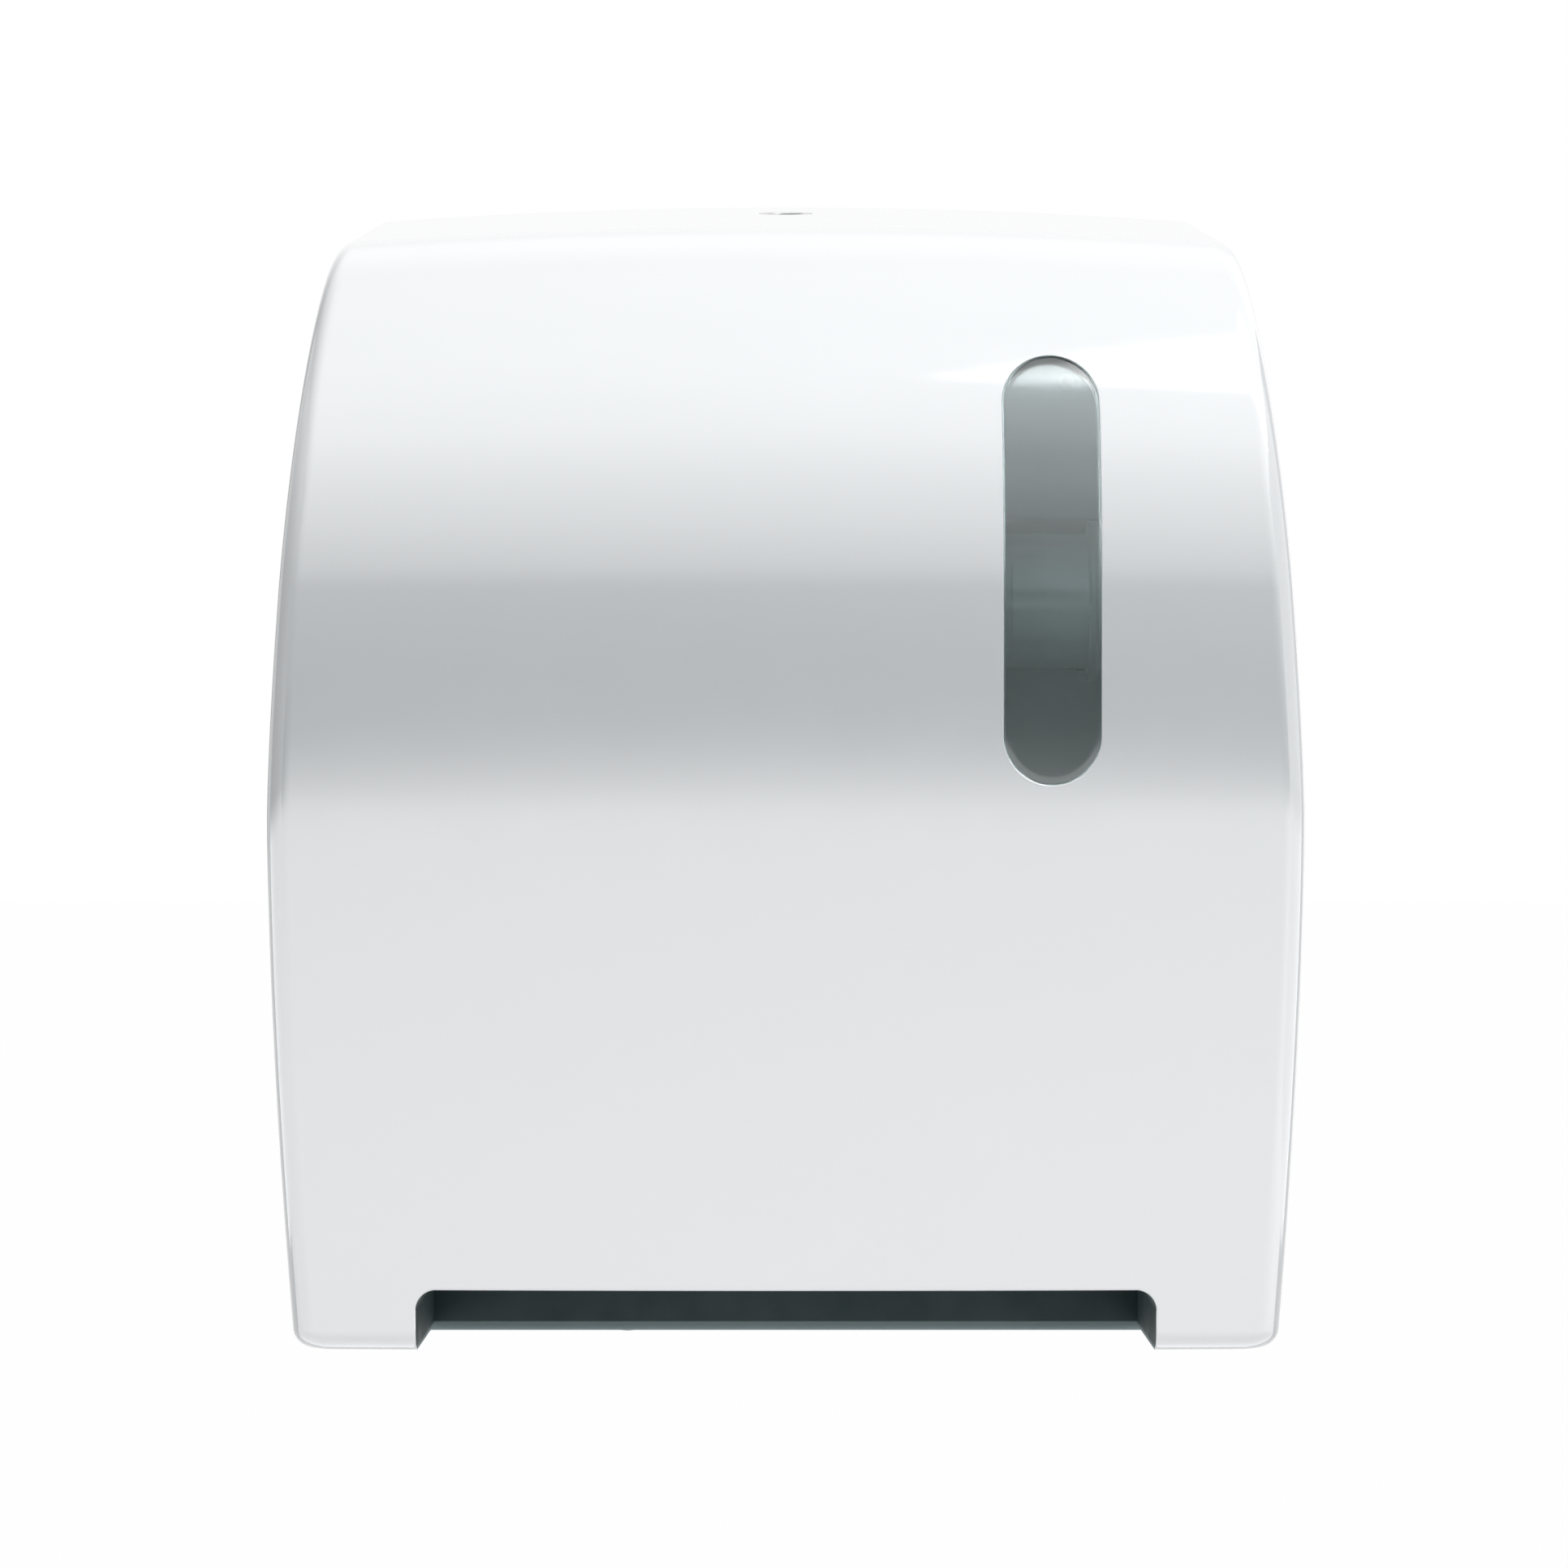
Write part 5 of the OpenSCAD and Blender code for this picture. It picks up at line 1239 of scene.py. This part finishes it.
def photo_camera(stage):
    """The camera in front of the object, a little below its middle."""
    camera = bpy.data.objects.new("camera", bpy.data.cameras.new("camera"))
    camera.data.lens = stage.lens
    camera.data.sensor_width = SENSOR
    camera.data.clip_end = 200
    camera.location = (stage.camera_side, -stage.camera_distance, stage.camera_height)
    aim = Vector((stage.camera_side, 0, stage.camera_aim)) - camera.location
    camera.rotation_euler = aim.to_track_quat("-Z", "Y").to_euler()
    bpy.context.collection.objects.link(camera)
    bpy.context.scene.camera = camera


# Operators


class DISPENSER_OT_finishes(bpy.types.Operator):
    """Mix the finishes of all pieces"""

    bl_idname = "dispenser.finishes"
    bl_label = "Finishes"

    def execute(self, context):
        FINISHES.update(mix_finishes(settings().colours))
        return {"FINISHED"}


class DISPENSER_OT_cover(bpy.types.Operator):
    """Mould the white cover"""

    bl_idname = "dispenser.cover"
    bl_label = "Cover"

    def execute(self, context):
        cover = cover_shell(CoverShape(settings().cover), settings().openings)
        paint_slot_shade(stand_for(cover, "front_cover"), settings().openings)
        return {"FINISHED"}


class DISPENSER_OT_window(bpy.types.Operator):
    """Mould the smoke pane of the level window"""

    bl_idname = "dispenser.window"
    bl_label = "Window"

    def execute(self, context):
        stand_for(window_pane(CoverShape(settings().cover), settings().openings), "level_window")
        return {"FINISHED"}


class DISPENSER_OT_lock(bpy.types.Operator):
    """Turn the lock in the top of the cover"""

    bl_idname = "dispenser.lock"
    bl_label = "Lock"

    def execute(self, context):
        stand_for(lock_body(CoverShape(settings().cover)), "lock_housing")
        stand_for(key_barrel(CoverShape(settings().cover)), "lock_barrel")
        for node in ("lock_cam", "lock_strike"):
            stand_for(dressed(node), node)
        return {"FINISHED"}


class DISPENSER_OT_guard(bpy.types.Operator):
    """Mould the trough behind the slot and its sensor lens"""

    bl_idname = "dispenser.guard"
    bl_label = "Guard and lens"

    def execute(self, context):
        stand_for(guard_trough(), "exit_guard")
        stand_for(sensor_eye(), "sensor_lens")
        return {"FINISHED"}


class DISPENSER_OT_springs(bpy.types.Operator):
    """Wind the springs"""

    bl_idname = "dispenser.springs"
    bl_label = "Springs"

    def execute(self, context):
        coils = stand_for(pinch_coils(), "pinch_springs")
        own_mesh(coils)
        stand_for(arm_coil("left_arm_spring", -1), "left_arm_spring")
        stand_for(arm_coil("right_arm_spring", 1), "right_arm_spring")
        return {"FINISHED"}


class DISPENSER_OT_rollers(bpy.types.Operator):
    """Turn the hubs, the rollers, the cells and the motor"""

    bl_idname = "dispenser.rollers"
    bl_label = "Turned pieces"

    def execute(self, context):
        stand_for(roll_hub("left_hub", -1), "left_hub")
        stand_for(roll_hub("right_hub", 1), "right_hub")
        stand_for(roller_core(), "drive_roller")
        stand_for(grip_rings(), "drive_grips")
        stand_for(pinch_rings(), "pinch_rollers")
        stand_for(cell_stack(), "battery_cells")
        stand_for(motor_body(), "motor_can")
        return {"FINISHED"}


class DISPENSER_OT_works(bpy.types.Operator):
    """Soften and finish the panel, the plates and the other works"""

    bl_idname = "dispenser.works"
    bl_label = "Works"

    def execute(self, context):
        for node, solid in frame["nodes"].items():
            if not solid.hide_render:
                stand_for(dressed(node), node)
        return {"FINISHED"}


class DISPENSER_OT_stage(bpy.types.Operator):
    """Set the floor, the light and the camera"""

    bl_idname = "dispenser.stage"
    bl_label = "Stage"

    def execute(self, context):
        stage = settings().stage
        context.scene.view_settings.view_transform = "Standard"
        white_world(WORLD_LEVEL)
        pale_floor(stage)
        studio_cards()
        for name, lamp in LAMPS.items():
            soft_lamp(name, *lamp)
        photo_camera(stage)
        return {"FINISHED"}


STEPS = (
    DISPENSER_OT_finishes,
    DISPENSER_OT_cover,
    DISPENSER_OT_window,
    DISPENSER_OT_lock,
    DISPENSER_OT_guard,
    DISPENSER_OT_springs,
    DISPENSER_OT_rollers,
    DISPENSER_OT_works,
    DISPENSER_OT_stage,
)


class DISPENSER_PT_panel(bpy.types.Panel):
    """Sizes, colours and steps of the dispenser"""

    bl_idname = "DISPENSER_PT_panel"
    bl_label = "Paper Towel Dispenser"
    bl_space_type = "VIEW_3D"
    bl_region_type = "UI"
    bl_category = "Dispenser"

    def draw(self, context):
        layout = self.layout
        for group in DispenserSettings.__annotations__:
            box = layout.box()
            box.label(text=group.title())
            held = getattr(settings(), group)
            for name in type(held).__annotations__:
                box.prop(held, name)
        for step in STEPS:
            layout.operator(step.bl_idname)


GROUPS = (CoverSizes, OpeningSizes, FinishColours, StageSizes, DispenserSettings)
CLASSES = (*GROUPS, *STEPS, DISPENSER_PT_panel)


def register():
    for cls in CLASSES:
        bpy.utils.register_class(cls)
    bpy.types.Scene.dispenser = PointerProperty(type=DispenserSettings)


def unregister():
    del bpy.types.Scene.dispenser
    for cls in reversed(CLASSES):
        bpy.utils.unregister_class(cls)


def main():
    register()
    bpy.ops.dispenser.finishes()
    bpy.ops.dispenser.cover()
    bpy.ops.dispenser.window()
    bpy.ops.dispenser.lock()
    bpy.ops.dispenser.guard()
    bpy.ops.dispenser.springs()
    bpy.ops.dispenser.rollers()
    bpy.ops.dispenser.works()
    bpy.ops.dispenser.stage()


if __name__ == "__main__":
    main()
